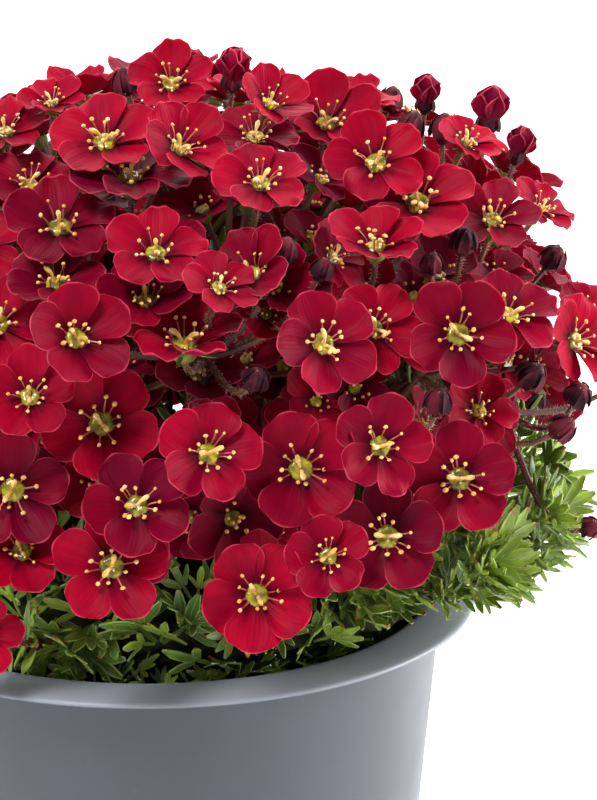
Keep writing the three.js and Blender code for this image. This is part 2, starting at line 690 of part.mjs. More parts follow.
// A pointed bud on its pedicel
function budSolid(bud, pedicel) {
  const rings = ringsAlong(pedicel.curve, [0], PEDICEL_RADIUS, 4);
  rings.push(stalkEnd(pedicel.curve, bud, 4));
  const side = rings.at(-1)[0].clone().sub(pedicel.curve.v2);
  for (const [share, width] of [[0.6, 0.6], [1.2, 0.5], [1.8, 0.12]]) {
    const centre = pedicel.curve.v2.clone().addScaledVector(bud.facing, share * bud.radius);
    rings.push(ring(centre, bud.facing, side, width * bud.radius, 4));
  }
  return tubeSolid(rings);
}

function stemRings(rod, shares, grow = 0) {
  return ringsAlong(rod.curve, shares, rod.radius + grow, 3);
}

// A blade at a stem's side, if it is clear of every bloom and of the other sprays
function bractSolid(spray, turn, blooms, rods) {
  const [side] = across(spray.line);
  const root = spray.stem.curve.getPoint(0.85);
  const along = spray.line.clone().addScaledVector(side, turn).addScaledVector(UP, 0.3).normalize();
  const tip = root.clone().addScaledVector(along, BRACT_LENGTH);
  const near = root.clone().addScaledVector(along, 2);
  const space = makeRod(near, near.clone().lerp(tip, 0.5), tip, 0.9);
  const others = rods.filter((rod) => rod !== spray.stem);
  if (clashes(space, blooms, others, null)) return null;
  return bladeSolid(BRACT, BRACT_LENGTH, laying(root, along, UP));
}

function spraySolid(spray, blooms, rods) {
  const stem = stemRings(spray.stem, [0, 0.5, 1]);
  const pieces = spray.blooms.map((bloom, i) => {
    const { curve } = spray.pedicels[i];
    const pedicel = [...ringsAlong(curve, [0, 0.5], PEDICEL_RADIUS, 3), stalkEnd(curve, bloom, 3)];
    return bloomSolid(bloom, pedicel);
  });
  pieces.unshift(tubeSolid(stem));
  pieces.push(...spray.buds.map((bud, i) => budSolid(bud, spray.budPedicels[i])));
  for (const turn of spray.blooms.length > 1 ? [1, -1] : []) {
    const bract = bractSolid(spray, turn, blooms, rods);
    if (!bract) continue;
    pieces.push(bract);
    break;
  }
  return mainBody(joined(pieces));
}

function boxesMeet(a, b) {
  return [0, 1, 2].every((i) => a.min[i] <= b.max[i] && b.min[i] <= a.max[i]);
}

function overlap(a, b) {
  return boxesMeet(a.boundingBox(), b.boundingBox()) ? a.intersect(b).volume() : 0;
}

function isClear(solid, others) {
  return others.every((o) => overlap(solid, o) === 0);
}

// Each spray as one body. Sprays that still cross are fused into one.
function spraySolids(sprays, blooms, rods) {
  const solids = [];
  for (const spray of sprays) {
    let solid = spraySolid(spray, blooms, rods);
    for (let k = solids.length - 1; k >= 0; k--) {
      if (overlap(solid, solids[k]) === 0) continue;
      solid = mainBody(solid.add(solids[k]));
      solids.splice(k, 1);
    }
    solids.push(solid);
  }
  return solids;
}

// The cushion

// The core on its plug, with a plain hole for each stem
function makeCore(sprays) {
  const dome = new THREE.SphereGeometry(1, 20, 12).rotateX(Math.PI / 2);
  dome.scale(...CORE_RADII.toArray()).translate(...CORE_CENTRE.toArray());
  const above = new THREE.BoxGeometry(200, 200, 100).translate(0, 0, POT_HEIGHT + 0.5 + 50);
  const plug = latheSolid([
    [0, SOIL_TOP + GAP], [CORE_FOOT_RADIUS - 2, SOIL_TOP + GAP],
    [CORE_FOOT_RADIUS, POT_HEIGHT + 2], [0, POT_HEIGHT + 6],
  ].map(([r, z]) => new THREE.Vector2(r, z)), 20);
  const core = solidOf(dome).intersect(solidOf(above)).add(plug);
  const holes = sprays.map(({ stem, line }) => {
    const { v0, v2 } = stem.curve;
    const share = Math.min(1, (1.7 * STEM_DEPTH) / v0.distanceTo(v2));
    const rings = stemRings(stem, [0, share], 2.4 * GAP);
    return tubeSolid([rings[0].map((p) => p.addScaledVector(line, -GAP)), rings[1]]);
  });
  return core.subtract(joined(holes));
}

// Rosettes: a centre and a direction each, over the core and at the tips of the leafy shoots

function coreRosettes() {
  const rosettes = [];
  for (let i = 0; i < ROSETTES; i++) {
    const height = -0.16 + 1.05 * ((i + 0.5) / ROSETTES) ** 1.7;
    const angle = i * GOLDEN_ANGLE;
    const out = Math.sqrt(1 - height * height);
    const unit = new THREE.Vector3(out * Math.cos(angle), out * Math.sin(angle), height);
    const normal = unit.clone().divide(CORE_RADII).normalize();
    const centre = unit.multiply(CORE_RADII).add(CORE_CENTRE).addScaledVector(normal, -1.2);
    rosettes.push({ centre, normal });
  }
  return rosettes;
}

function makeShoots() {
  const shoots = [];
  for (let i = 0; i < SHOOTS; i++) {
    const angle = radians(-38 + 19 * i);
    const out = new THREE.Vector3(Math.cos(angle), Math.sin(angle), 0);
    const root = out.clone().multiply(CORE_RADII).add(CORE_CENTRE).addScaledVector(out, -4);
    root.z += 4 - 3 * (i % 2);
    const rise = 3 + 2 * (i % 2);
    const tip = root.clone().addScaledVector(out, SHOOT_REACH + 4).addScaledVector(UP, rise);
    const bend = root.clone().addScaledVector(out, 0.6 * SHOOT_REACH).addScaledVector(UP, -1);
    shoots.push({ rod: makeRod(root, bend, tip, STEM_RADIUS), centre: tip, normal: out });
  }
  return shoots;
}

// True where a leaf stays off the pot's collar and the compost
function clearsPot(solid) {
  const { min, max } = solid.boundingBox();
  const reach = Math.max(...[min[0], max[0]].map(Math.abs)) ** 2
    + Math.max(...[min[1], max[1]].map(Math.abs)) ** 2;
  const inMouth = min[2] > SOIL_TOP + GAP && reach < (MOUTH_RADIUS - 1) ** 2;
  return min[2] > POT_HEIGHT + GAP || inMouth;
}

function makeCushion(sprays, spraysAsSolids) {
  const draw = makeDraw(23);
  const rodSolid = ({ rod }, grow) => tubeSolid(stemRings(rod, [0, 0.5, 1], grow));
  const shoots = makeShoots().filter((shoot) => isClear(rodSolid(shoot, GAP), spraysAsSolids));
  const pieces = [makeCore(sprays), ...shoots.map((shoot) => rodSolid(shoot, 0))];
  for (const { centre, normal } of [...coreRosettes(), ...shoots]) {
    const [side, rise] = across(normal);
    const start = draw();
    for (let k = 0; k < ROSETTE_LEAVES; k++) {
      const [tilt, size] = [draw(), draw()];
      for (const turn of [0, 0.35, -0.35, 0.7, -0.7]) {
        const angle = 2 * Math.PI * (start + k / ROSETTE_LEAVES) + turn;
        const sideways = side.clone().multiplyScalar(Math.cos(angle))
          .addScaledVector(rise, Math.sin(angle));
        const along = normal.clone().multiplyScalar(0.75 + 0.5 * tilt).add(sideways).normalize();
        const root = centre.clone().addScaledVector(sideways, 0.9);
        const upper = normal.clone().addScaledVector(sideways, -1);
        const matrix = laying(root, along, upper);
        const leaf = bladeSolid(LOBED_LEAF, LEAF_LENGTH * (0.8 + 0.4 * size), matrix);
        if (!clearsPot(leaf) || !isClear(leaf, spraysAsSolids)) continue;
        pieces.push(leaf);
        break;
      }
    }
  }
  return mainBody(joined(pieces));
}

// The object

const FINISHES = {
  pot: { color: 0x76808f, roughness: 0.42 },
  compost: { color: 0x1d1510, roughness: 0.95 },
  foliage: { color: 0x3f6f1f, roughness: 0.5 },
  spray: { color: 0x9c0718, roughness: 0.55 },
};

// The geometry is welded once more, and what hung on by less than a weld is dropped
function addMesh(parent, name, finish, solid) {
  const welded = mainBody(solidOf(geometryOf(solid)));
  const mesh = new THREE.Mesh(geometryOf(welded), new THREE.MeshStandardMaterial(FINISHES[finish]));
  mesh.name = name;
  parent.add(mesh);
}

const plant = new THREE.Group();
const blooms = makeBlooms();
const { sprays, rods } = makeSprays(blooms);
const solids = spraySolids(sprays, blooms, rods);
addMesh(plant, "pot", "pot", makePot());
addMesh(plant, "compost", "compost", makeSoil());
addMesh(plant, "cushion", "foliage", makeCushion(sprays, solids));
solids.forEach((solid, i) => {
  addMesh(plant, `spray_${String(i + 1).padStart(2, "0")}`, "spray", solid);
});

export default plant;
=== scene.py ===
"""Looks of a potted mossy saxifrage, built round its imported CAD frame.

Metres in the scene. Sizes in the classes below are millimetres, as in the part's source, with
the origin at the centre of the pot's base, +Z up, +X to the right of the photograph and -Y
towards its camera.
"""
import sys
import logging
import math
from abc import ABC, abstractmethod
from collections.abc import Iterator, Sequence
from dataclasses import dataclass, field, replace
from enum import Enum, IntEnum
from itertools import islice

import bmesh
import bpy
import numpy as np
from mathutils import Matrix, Vector


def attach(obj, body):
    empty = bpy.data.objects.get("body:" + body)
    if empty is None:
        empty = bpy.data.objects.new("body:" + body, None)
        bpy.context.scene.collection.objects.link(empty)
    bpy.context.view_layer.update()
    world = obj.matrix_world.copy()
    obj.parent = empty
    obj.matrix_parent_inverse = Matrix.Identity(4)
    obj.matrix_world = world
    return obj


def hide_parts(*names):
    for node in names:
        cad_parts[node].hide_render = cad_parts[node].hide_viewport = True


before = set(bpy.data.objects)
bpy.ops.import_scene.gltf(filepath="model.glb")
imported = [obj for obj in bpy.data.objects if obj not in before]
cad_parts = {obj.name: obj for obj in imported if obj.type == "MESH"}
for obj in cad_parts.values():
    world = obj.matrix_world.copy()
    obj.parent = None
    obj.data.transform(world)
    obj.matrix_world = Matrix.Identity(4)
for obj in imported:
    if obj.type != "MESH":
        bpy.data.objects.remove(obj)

Array = np.ndarray
Colour = tuple[float, float, float]
Place = tuple[float, float, float]

LOG = logging.getLogger("saxifrage")
MM = 0.001
BODY = "root"
GOLDEN_ANGLE = math.pi * (3 - math.sqrt(5))
UP = np.array([0.0, 0.0, 1.0])

# The photograph's skyline, in its pixels. Blooms at the back stay under it.
SKYLINE = (
    (-40, 125), (0, 108), (45, 88), (80, 76), (130, 72), (150, 44), (205, 42), (245, 48),
    (262, 76), (330, 80), (385, 90), (430, 74), (480, 86), (533, 132), (560, 200), (600, 285),
    (640, 340),
)
# Blooms that it shows: x and y of the centre in its pixels, width in mm, how far the bloom faces
# right and up (sines), and the turn of its petals in degrees.
SEEN_BLOOMS = (
    (171, 86, 16, 0, 0.55, 90), (5, 135, 16, 0, 0.7, 20), (52, 106, 13, 0, 0.8, 50),
    (105, 145, 20, -0.05, 0.65, 100), (178, 150, 17, 0.45, 0.5, 30), (130, 182, 22, 0, 0.83, 60),
    (60, 230, 20, 0.05, 0.6, 95), (156, 256, 18, 0.05, 0.6, 85), (146, 303, 17, 0, 0.6, 45),
    (56, 286, 18, 0, 0.75, 70), (75, 340, 18.5, 0.3, 0.3, 20), (-2, 325, 18, 0.1, 0.3, 0),
    (184, 348, 21, 0, 0.83, 80), (260, 186, 17.5, 0.1, 0.65, 30), (255, 140, 17, 0, 0.75, 60),
    (268, 106, 14, 0.4, 0.6, 10), (326, 126, 18, 0.15, 0.6, 85), (376, 165, 18.5, 0, 0.45, 40),
    (417, 205, 21, 0, 0.5, 26), (376, 250, 17, 0, 0.8, 15), (330, 258, 14, 0.75, 0.3, 0),
    (254, 276, 17, -0.4, 0.45, 60), (218, 290, 14, 0.3, 0.6, 20), (322, 345, 19, 0.35, 0.2, 35),
    (373, 330, 17, 0.4, 0.2, 50), (457, 335, 20, 0.15, 0.1, 54), (508, 318, 18, 0.3, 0.6, 10),
    (492, 222, 17, 0.1, 0.6, 70), (540, 212, 14, 0.5, 0.7, 40), (465, 145, 13, 0.4, 0.7, 5),
    (572, 342, 18, 0.7, 0.2, 65), (585, 318, 15, 0.5, 0.5, 30), (30, 398, 17, 0, 0.3, 20),
    (102, 424, 21.5, 0, 0.15, 54), (207, 455, 18.5, 0.25, 0.25, 0), (301, 469, 21, 0, 0, 36),
    (379, 447, 18, 0.3, 0.15, 0), (459, 479, 20, 0, 0.1, 18), (387, 537, 20, 0, 0.1, 18),
    (13, 490, 20.5, 0, 0, 18), (137, 507, 19, 0, 0.35, 45), (112, 567, 20.5, 0, 0.1, 18),
    (257, 595, 20, 0, 0, 50), (22, 553, 17, 0, 0.35, 0), (-14, 636, 14, 0, 0.1, 10),
    (328, 557, 15, 0, 0.15, 30), (478, 412, 14, 0.3, 0.3, 60), (30, 188, 17, 0, 0.75, 15),
    (-22, 250, 18, 0, 0.5, 33), (84, 96, 14, -0.1, 0.95, 0), (362, 108, 15, 0.1, 0.9, 20),
)
# Unopened and closing buds that it shows: x, y and length in mm.
SEEN_BUDS = (
    (232, 70, 9), (425, 95, 8), (408, 124, 6), (443, 128, 6.5), (388, 98, 5.5), (487, 112, 10),
    (515, 146, 8), (548, 254, 6), (575, 390, 6), (554, 422, 6), (524, 370, 6.5), (280, 250, 6),
    (318, 268, 5), (252, 372, 6), (462, 240, 6), (432, 262, 5), (128, 80, 6), (586, 520, 5),
    (196, 400, 5), (436, 400, 6),
)


class Slot(Enum):
    """The record's material slots."""

    POT = "pot_plastic"
    COMPOST = "compost"
    FOLIAGE = "foliage"
    PETALS = "petals"


# Vectors and frames


def unit(vector: Array) -> Array:
    """Returns a vector's direction."""
    return vector / np.linalg.norm(vector)


def direction(compass: float, height: float) -> Array:
    """Turns two angles into a direction.

    Args:
        compass: angle about +Z from +X, in degrees.
        height: angle above level, in degrees.

    Returns:
        The unit vector.
    """
    a, e = math.radians(compass), math.radians(height)
    return np.array([math.cos(a) * math.cos(e), math.sin(a) * math.cos(e), math.sin(e)])


def across(line: Array) -> tuple[Array, Array]:
    """Returns two directions square to a line and to each other.

    Args:
        line: a unit direction.

    Returns:
        Two unit vectors.
    """
    hint = np.array([1.0, 0.0, 0.0]) if abs(line[2]) > 0.95 else UP
    side = unit(np.cross(line, hint))
    return side, np.cross(side, line)


def placed(x: Array, y: Array, z: Array, at: Array, scale: float = 1.0) -> Array:
    """Returns the 4 x 4 matrix with these axes, place and scale.

    Args:
        x: the first axis.
        y: the second axis.
        z: the third axis.
        at: the place, in mm.
        scale: the scale of the axes.

    Returns:
        The 4 x 4 matrix.
    """
    matrix = np.eye(4)
    matrix[:3, 0], matrix[:3, 1], matrix[:3, 2], matrix[:3, 3] = x * scale, y * scale, z * scale, at
    return matrix


def standing(at: Array, facing: Array, turn: float, scale: float = 1.0) -> Array:
    """Stands a piece at a place, its +Z along facing and turned about it.

    Args:
        at: the place, in mm.
        facing: the direction of the piece's own +Z.
        turn: the turn about it, in radians.
        scale: the piece's scale.

    Returns:
        The 4 x 4 matrix.
    """
    z = unit(facing)
    hint = np.array([0.0, 1.0, 0.0]) if abs(z[2]) > 0.95 else UP
    x = unit(np.cross(hint, z))
    y = np.cross(z, x)
    c, s = math.cos(turn), math.sin(turn)
    return placed(c * x + s * y, c * y - s * x, z, at, scale)


def laid(root: Array, along: Array, upper: Array, scale: float = 1.0) -> Array:
    """Lays a blade from its root, its +Y along a line and its +Z towards a side.

    Args:
        root: the place of the root, in mm.
        along: the direction of the blade.
        upper: the side that its upper face turns to.
        scale: the blade's length.

    Returns:
        The 4 x 4 matrix.
    """
    y = unit(along)
    x = unit(np.cross(y, upper))
    return placed(x, y, np.cross(x, y), root, scale)


def bezier(start: Array, bend: Array, end: Array, count: int) -> Array:
    """Returns points of a quadratic curve, evenly spaced in its parameter."""
    t = np.linspace(0, 1, count)[:, None]
    return (1 - t) ** 2 * start + 2 * t * (1 - t) * bend + t * t * end


def frames_along(path: Array) -> Array:
    """Square frames along a path, each turned as little as possible from the one before.

    Args:
        path: (n, 3) points.

    Returns:
        (n, 3, 3) matrices whose columns are the side, the rise and the path's direction.
    """
    tangents = np.gradient(path, axis=0)
    side, _ = across(unit(tangents[0]))
    frames = []
    for tangent in tangents:
        line = unit(tangent)
        side = unit(side - line * side.dot(line))
        frames.append(np.stack([side, np.cross(line, side), line], axis=1))
    return np.array(frames)


# Stock shapes that are copied many times


@dataclass
class Stock:
    """A small mesh in mm, with its UVs, the finish of each face and a tint for each point."""

    points: Array
    corners: Array
    sizes: Array
    uvs: Array
    finishes: Array
    tints: Array

    @classmethod
    def of(cls, bm: bmesh.types.BMesh, finish: int = 0) -> "Stock":
        """Reads a bmesh and frees it.

        Args:
            bm: the mesh, whose UVs are in its first layer if it has one.
            finish: the number that is added to the material index of each face.

        Returns:
            The stock shape.
        """
        bm.verts.index_update()
        layer = bm.loops.layers.uv.active
        loops = [loop for face in bm.faces for loop in face.loops]
        stock = cls(
            points=np.array([v.co[:] for v in bm.verts]),
            corners=np.array([loop.vert.index for loop in loops]),
            sizes=np.array([len(face.loops) for face in bm.faces]),
            uvs=np.array([loop[layer].uv[:] if layer else (0.0, 0.0) for loop in loops]),
            finishes=np.array([face.material_index + finish for face in bm.faces]),
            tints=np.zeros(len(bm.verts)),
        )
        bm.free()
        return stock

    @classmethod
    def joined(cls, stocks: Sequence["Stock"]) -> "Stock":
        """Returns several stock shapes as one.

        Args:
            stocks: the shapes.

        Returns:
            One shape with all their faces.
        """
        starts = np.cumsum([0] + [len(s.points) for s in stocks[:-1]])
        return cls(
            points=np.concatenate([s.points for s in stocks]),
            corners=np.concatenate([s.corners + n for s, n in zip(stocks, starts)]),
            sizes=np.concatenate([s.sizes for s in stocks]),
            uvs=np.concatenate([s.uvs for s in stocks]),
            finishes=np.concatenate([s.finishes for s in stocks]),
            tints=np.concatenate([s.tints for s in stocks]),
        )

    def copied(self, matrices: Array, tints: Array | float = 0.0) -> "Stock":
        """Copies the shape to many places.

        Args:
            matrices: (k, 4, 4) places.
            tints: the tint added to each copy.

        Returns:
            All copies as one shape.
        """
        matrices = np.asarray(matrices, float).reshape(-1, 4, 4)
        count = len(matrices)
        added = np.broadcast_to(np.asarray(tints, float), (count,))
        moved = np.einsum("kij,nj->kni", matrices[:, :3, :3], self.points)
        shifts = np.arange(count)[:, None] * len(self.points)
        return Stock(
            points=(moved + matrices[:, None, :3, 3]).reshape(-1, 3),
            corners=(self.corners[None, :] + shifts).ravel(),
            sizes=np.tile(self.sizes, count),
            uvs=np.tile(self.uvs, (count, 1)),
            finishes=np.tile(self.finishes, count),
            tints=(self.tints[None, :] + added[:, None]).ravel(),
        )

    def piece(self, name: str, materials: Sequence[bpy.types.Material],
              sharp: float = 50.0) -> bpy.types.Object:
        """Makes the shape an object of the scene.

        Args:
            name: the piece's name.
            materials: its materials, in the order of the faces' finishes.
            sharp: edges that turn more than this, in degrees, stay sharp.

        Returns:
            The object, at the origin, its place in its mesh.
        """
        mesh = bpy.data.meshes.new(name)
        mesh.vertices.add(len(self.points))
        mesh.vertices.foreach_set("co", (self.points * MM).astype(np.float32).ravel())
        mesh.loops.add(len(self.corners))
        mesh.loops.foreach_set("vertex_index", self.corners.astype(np.int32))
        mesh.polygons.add(len(self.sizes))
        starts = np.concatenate([[0], np.cumsum(self.sizes)[:-1]])
        mesh.polygons.foreach_set("loop_start", starts.astype(np.int32))
        mesh.polygons.foreach_set("material_index", self.finishes.astype(np.int32))
        mesh.uv_layers.new(name="UVMap").data.foreach_set("uv", self.uvs.astype(np.float32).ravel())
        mesh.attributes.new("tint", "FLOAT", "POINT").data.foreach_set(
            "value", self.tints.astype(np.float32))
        mesh.update(calc_edges=True)
        mesh.polygons.foreach_set("use_smooth", np.ones(len(self.sizes), bool))
        mesh.set_sharp_from_angle(angle=math.radians(sharp))
        for material in materials:
            mesh.materials.append(material)
        piece = bpy.data.objects.new(name, mesh)
        bpy.context.scene.collection.objects.link(piece)
        return piece


def hang_in_frame(piece: bpy.types.Object, slot: Slot, *nodes: str) -> None:
    """Ties a piece to the body and hides the CAD nodes that it stands for.

    Args:
        piece: the piece.
        slot: its material slot; not used.
        nodes: the CAD nodes that it stands for.
    """
    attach(piece, BODY)
    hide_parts(*nodes)
    LOG.info("%s: %d faces, for %s", piece.name, len(piece.data.polygons), ", ".join(nodes))


def swept(path: Array, radii: Sequence[float], sides: int, finish: int = 0) -> Stock:
    """A closed round rod along a path.

    Args:
        path: (n, 3) points in mm.
        radii: the radius at each point.
        sides: how many sides the rod has.
        finish: its material index.

    Returns:
        The rod.
    """
    bm = bmesh.new()
    rings = [
        Matrix(placed(f[:, 0], f[:, 1], f[:, 2], p, r).tolist())
        for f, p, r in zip(frames_along(path), path, radii)
    ]
    bmesh.ops.create_circle(bm, cap_ends=True, radius=1.0, segments=sides)
    bmesh.ops.transform(bm, matrix=rings[0], verts=bm.verts)
    edges = bm.edges[:]
    for before, after in zip(rings, rings[1:]):
        made = bmesh.ops.extrude_edge_only(bm, edges=edges)["geom"]
        fresh = {g for g in made if isinstance(g, bmesh.types.BMVert)}
        edges = [g for g in made if isinstance(g, bmesh.types.BMEdge) and fresh.issuperset(g.verts)]
        bmesh.ops.transform(bm, matrix=after @ before.inverted(), verts=list(fresh))
    bmesh.ops.contextual_create(bm, geom=edges)
    bmesh.ops.recalc_face_normals(bm, faces=bm.faces)
    return Stock.of(bm, finish)


def turned(profile: Sequence[tuple[float, float]], steps: int) -> bmesh.types.BMesh:
    """Turns a profile of radii and heights about +Z.

    Args:
        profile: (radius, height) points in mm, from the bottom of the inside to the axis again.
        steps: how many steps the turn has.

    Returns:
        The closed shape.
    """
    bm = bmesh.new()
    verts = [bm.verts.new((r, 0.0, z)) for r, z in profile]
    edges = [bm.edges.new(pair) for pair in zip(verts, verts[1:])]
    bmesh.ops.spin(bm, geom=verts + edges, cent=(0, 0, 0), axis=(0, 0, 1), angle=math.tau,
                   steps=steps, use_merge=True, use_duplicate=False)
    bmesh.ops.remove_doubles(bm, verts=bm.verts, dist=1e-4)
    bmesh.ops.dissolve_degenerate(bm, dist=1e-4, edges=bm.edges)
    bmesh.ops.recalc_face_normals(bm, faces=bm.faces)
    return bm


def bent_grid(columns: int, rows: int, shape: "Blade", thickness: float,
              back: int = 0) -> Stock:
    """A thin closed sheet: a grid that a shape bends, given a thickness.

    Args:
        columns: faces across.
        rows: faces along.
        shape: what turns across (-1 to 1) and along (0 to 1) into a place in mm.
        thickness: the sheet's thickness in mm.
        back: the material index of its underside.

    Returns:
        The sheet, with UVs across and along.
    """
    bm = bmesh.new()
    layer = bm.loops.layers.uv.new("UVMap")
    bmesh.ops.create_grid(bm, x_segments=columns, y_segments=rows, size=1.0, calc_uvs=False)
    for face in bm.faces:
        for loop in face.loops:
            loop[layer].uv = ((loop.vert.co.x + 1) / 2, (loop.vert.co.y + 1) / 2)
    for vert in bm.verts:
        vert.co = shape.at(vert.co.x, (vert.co.y + 1) / 2)
    upper = set(bm.faces)
    bmesh.ops.solidify(bm, geom=bm.faces[:], thickness=thickness)
    lower = [f for f in bm.faces if f not in upper]
    for face in lower:
        face.material_index = back
    bmesh.ops.recalc_face_normals(bm, faces=bm.faces)
    return Stock.of(bm)


class Blade(ABC):
    """A thin shape that grows from its root along +Y, its upper face towards +Z."""

    @abstractmethod
    def at(self, across_share: float, along_share: float) -> Vector:
        """Returns the place, in mm, at a share across (-1 to 1) and along (0 to 1)."""


# Finishes


class Shade:
    """A material's node tree, made one call a node."""

    def __init__(self, name: str) -> None:
        """Starts a material with its Principled shader.

        Args:
            name: the material's name.
        """
        self.material = bpy.data.materials.new(name)
        self.material.use_nodes = True
        self.tree = self.material.node_tree
        self.shader = self.tree.nodes["Principled BSDF"]
        self.places = self.node("ShaderNodeTexCoord")

    def feed(self, socket: bpy.types.NodeSocket, value: object) -> None:
        """Links a socket to an output, or sets its value.

        Args:
            socket: the input.
            value: an output to link, or a value to set.
        """
        if isinstance(value, bpy.types.NodeSocket):
            self.tree.links.new(value, socket)
        else:
            socket.default_value = value

    def node(self, kind: str, inputs: dict | None = None, **settings: object) -> bpy.types.Node:
        """Adds a node, with its settings and inputs.

        Args:
            kind: the node's type.
            inputs: what goes into each input, by its name or number.
            settings: the node's own settings.

        Returns:
            The node.
        """
        made = self.tree.nodes.new(kind)
        for key, value in settings.items():
            setattr(made, key, value)
        for key, value in (inputs or {}).items():
            self.feed(made.inputs[key], value)
        return made

    def sets(self, **values: object) -> None:
        """Sets or links the shader's sockets, named with underscores for spaces."""
        for key, value in values.items():
            self.feed(self.shader.inputs[key.replace("_", " ")], value)

    def math(self, operation: str, a: object, b: object = 0.0,
             c: object = 0.0) -> bpy.types.NodeSocket:
        """Adds a Math node and returns its output."""
        return self.node("ShaderNodeMath", {0: a, 1: b, 2: c}, operation=operation).outputs[0]

    def noise(self, scale: float, detail: float = 2.0, roughness: float = 0.5,
              vector: object = None) -> bpy.types.NodeSocket:
        """Adds noise on the object's own coordinates, scale in cycles per metre.

        Args:
            scale: cycles per metre.
            detail: the noise's detail.
            roughness: the noise's roughness.
            vector: the place that it reads, or the object's own.

        Returns:
            The noise's output.
        """
        inputs = {"Scale": scale, "Detail": detail, "Roughness": roughness}
        inputs["Vector"] = vector or self.places.outputs["Object"]
        return self.node("ShaderNodeTexNoise", inputs).outputs[0]

    def spread(self, value: object, low: float, high: float, to_low: float = 0.0,
               to_high: float = 1.0) -> bpy.types.NodeSocket:
        """Maps a value from one range to another, smoothly and held at the ends."""
        inputs = {0: value, 1: low, 2: high, 3: to_low, 4: to_high}
        return self.node("ShaderNodeMapRange", inputs, interpolation_type="SMOOTHSTEP").outputs[0]

    def mix(self, share: object, a: object, b: object, blend: str = "MIX") -> bpy.types.NodeSocket:
        """Mixes two colours.

        Args:
            share: how much of the second colour there is.
            a: the first colour.
            b: the second colour.
            blend: how they blend.

        Returns:
            The mixed colour.
        """
        a, b = ((*x, 1.0) if isinstance(x, tuple) else x for x in (a, b))
        inputs = {0: share, 6: a, 7: b}
        made = self.node("ShaderNodeMix", inputs, data_type="RGBA", blend_type=blend)
        return made.outputs[2]

    def bump(self, height: object, strength: float, depth_mm: float) -> None:
        """Gives the shader a bump of a depth in mm."""
        inputs = {"Height": height, "Strength": strength, "Distance": depth_mm * MM}
        self.sets(Normal=self.node("ShaderNodeBump", inputs).outputs[0])

    def tint(self) -> bpy.types.NodeSocket:
        """Returns the piece's own tint attribute."""
        return self.node("ShaderNodeAttribute", attribute_name="tint").outputs["Fac"]


@dataclass(frozen=True)
class Finish(ABC):
    """A named surface."""

    name: str

    @abstractmethod
    def dress(self, shade: Shade) -> None:
        """Adds the surface's own nodes."""

    def material(self) -> bpy.types.Material:
        """Returns the surface as a new material.

        Returns:
            The material.
        """
        shade = Shade(self.name)
        self.dress(shade)
        return shade.material


@dataclass(frozen=True)
class PetalFinish(Finish):
    """Satin petal: fan veins, painted shade towards the heart, a thin pale margin that is partly
    painted sheen, and a tint for each bloom.
    """

    bright: Colour = (0.30, 0.0, 0.016)
    deep: Colour = (0.095, 0.0, 0.012)
    # vein_and_shade: the veins' darkest red, and the painted shade towards the heart.
    vein_and_shade: Colour = (0.028, 0.0, 0.005)
    # A paler margin, partly the petal's own colour and partly painted sheen of its velvet edges.
    margin: Colour = (0.60, 0.06, 0.11)
    roughness: float = 0.5
    sheen: float = 0.02
    margin_strength: float = 0.5

    def dress(self, shade: Shade) -> None:
        """Adds the veins, the painted shade towards the heart, the margin with its painted sheen,
        and the satin.

        Args:
            shade: the material's node tree.
        """
        uv = shade.node("ShaderNodeSeparateXYZ", {0: shade.places.outputs["UV"]})
        u, v = uv.outputs[0], uv.outputs[1]
        side = shade.math("ABSOLUTE", shade.math("MULTIPLY_ADD", u, 2.0, -1.0))
        patches = shade.noise(160, 3)
        streaks = self.veins(shade, u, patches, 27.0, 3.5)
        fine = self.veins(shade, u, patches, 74.0, 5.0)
        body = shade.mix(shade.spread(shade.tint(), 0.0, 1.0), self.deep, self.bright)
        body = shade.mix(shade.spread(patches, 0.38, 0.68, 0.0, 0.4), body, self.deep)
        dark = shade.mix(0.4, self.deep, self.vein_and_shade)
        body = shade.mix(shade.spread(streaks, 0.1, 1.0, 0.0, 0.11), body, dark)
        body = shade.mix(shade.spread(fine, 0.55, 1.0, 0.0, 0.10), body, dark)
        # Painted shade: the petal's inner half darkens towards the heart, where the cup is shaded.
        body = shade.mix(shade.spread(v, 0.48, 0.0, 0.0, 0.85), body, self.vein_and_shade)
        # Partly painted sheen: a thin paler margin along the petal's edges, also standing in for
        # their velvet sheen.
        edge = shade.math("MAXIMUM", side, v)
        pale = shade.math("MULTIPLY", shade.spread(edge, 0.955, 0.99), shade.spread(v, 0.3, 0.6))
        pale = shade.math("MULTIPLY", pale, self.margin_strength)
        shade.sets(
            Base_Color=shade.mix(pale, body, self.margin),
            Roughness=self.roughness,
            Specular_IOR_Level=0.05,
            Sheen_Weight=self.sheen,
            Sheen_Roughness=0.35,
            Sheen_Tint=(1.0, 0.15, 0.3, 1.0),
            Subsurface_Weight=0.12,
            Subsurface_Radius=(1.0, 0.12, 0.1),
            Subsurface_Scale=0.0012,
        )
        relief = shade.math("MULTIPLY_ADD", streaks, 0.6, shade.math("MULTIPLY", fine, 0.25))
        shade.bump(shade.math("ADD", relief, patches), 0.22, 0.2)

    @staticmethod
    def veins(shade: Shade, u: object, patches: object, count: float,
              waver: float) -> bpy.types.NodeSocket:
        """Returns a wave of so many turns across the petal, bent by its patches."""
        turns = shade.math("MULTIPLY", u, count)
        return shade.math("SINE", shade.math("MULTIPLY_ADD", patches, waver, turns))


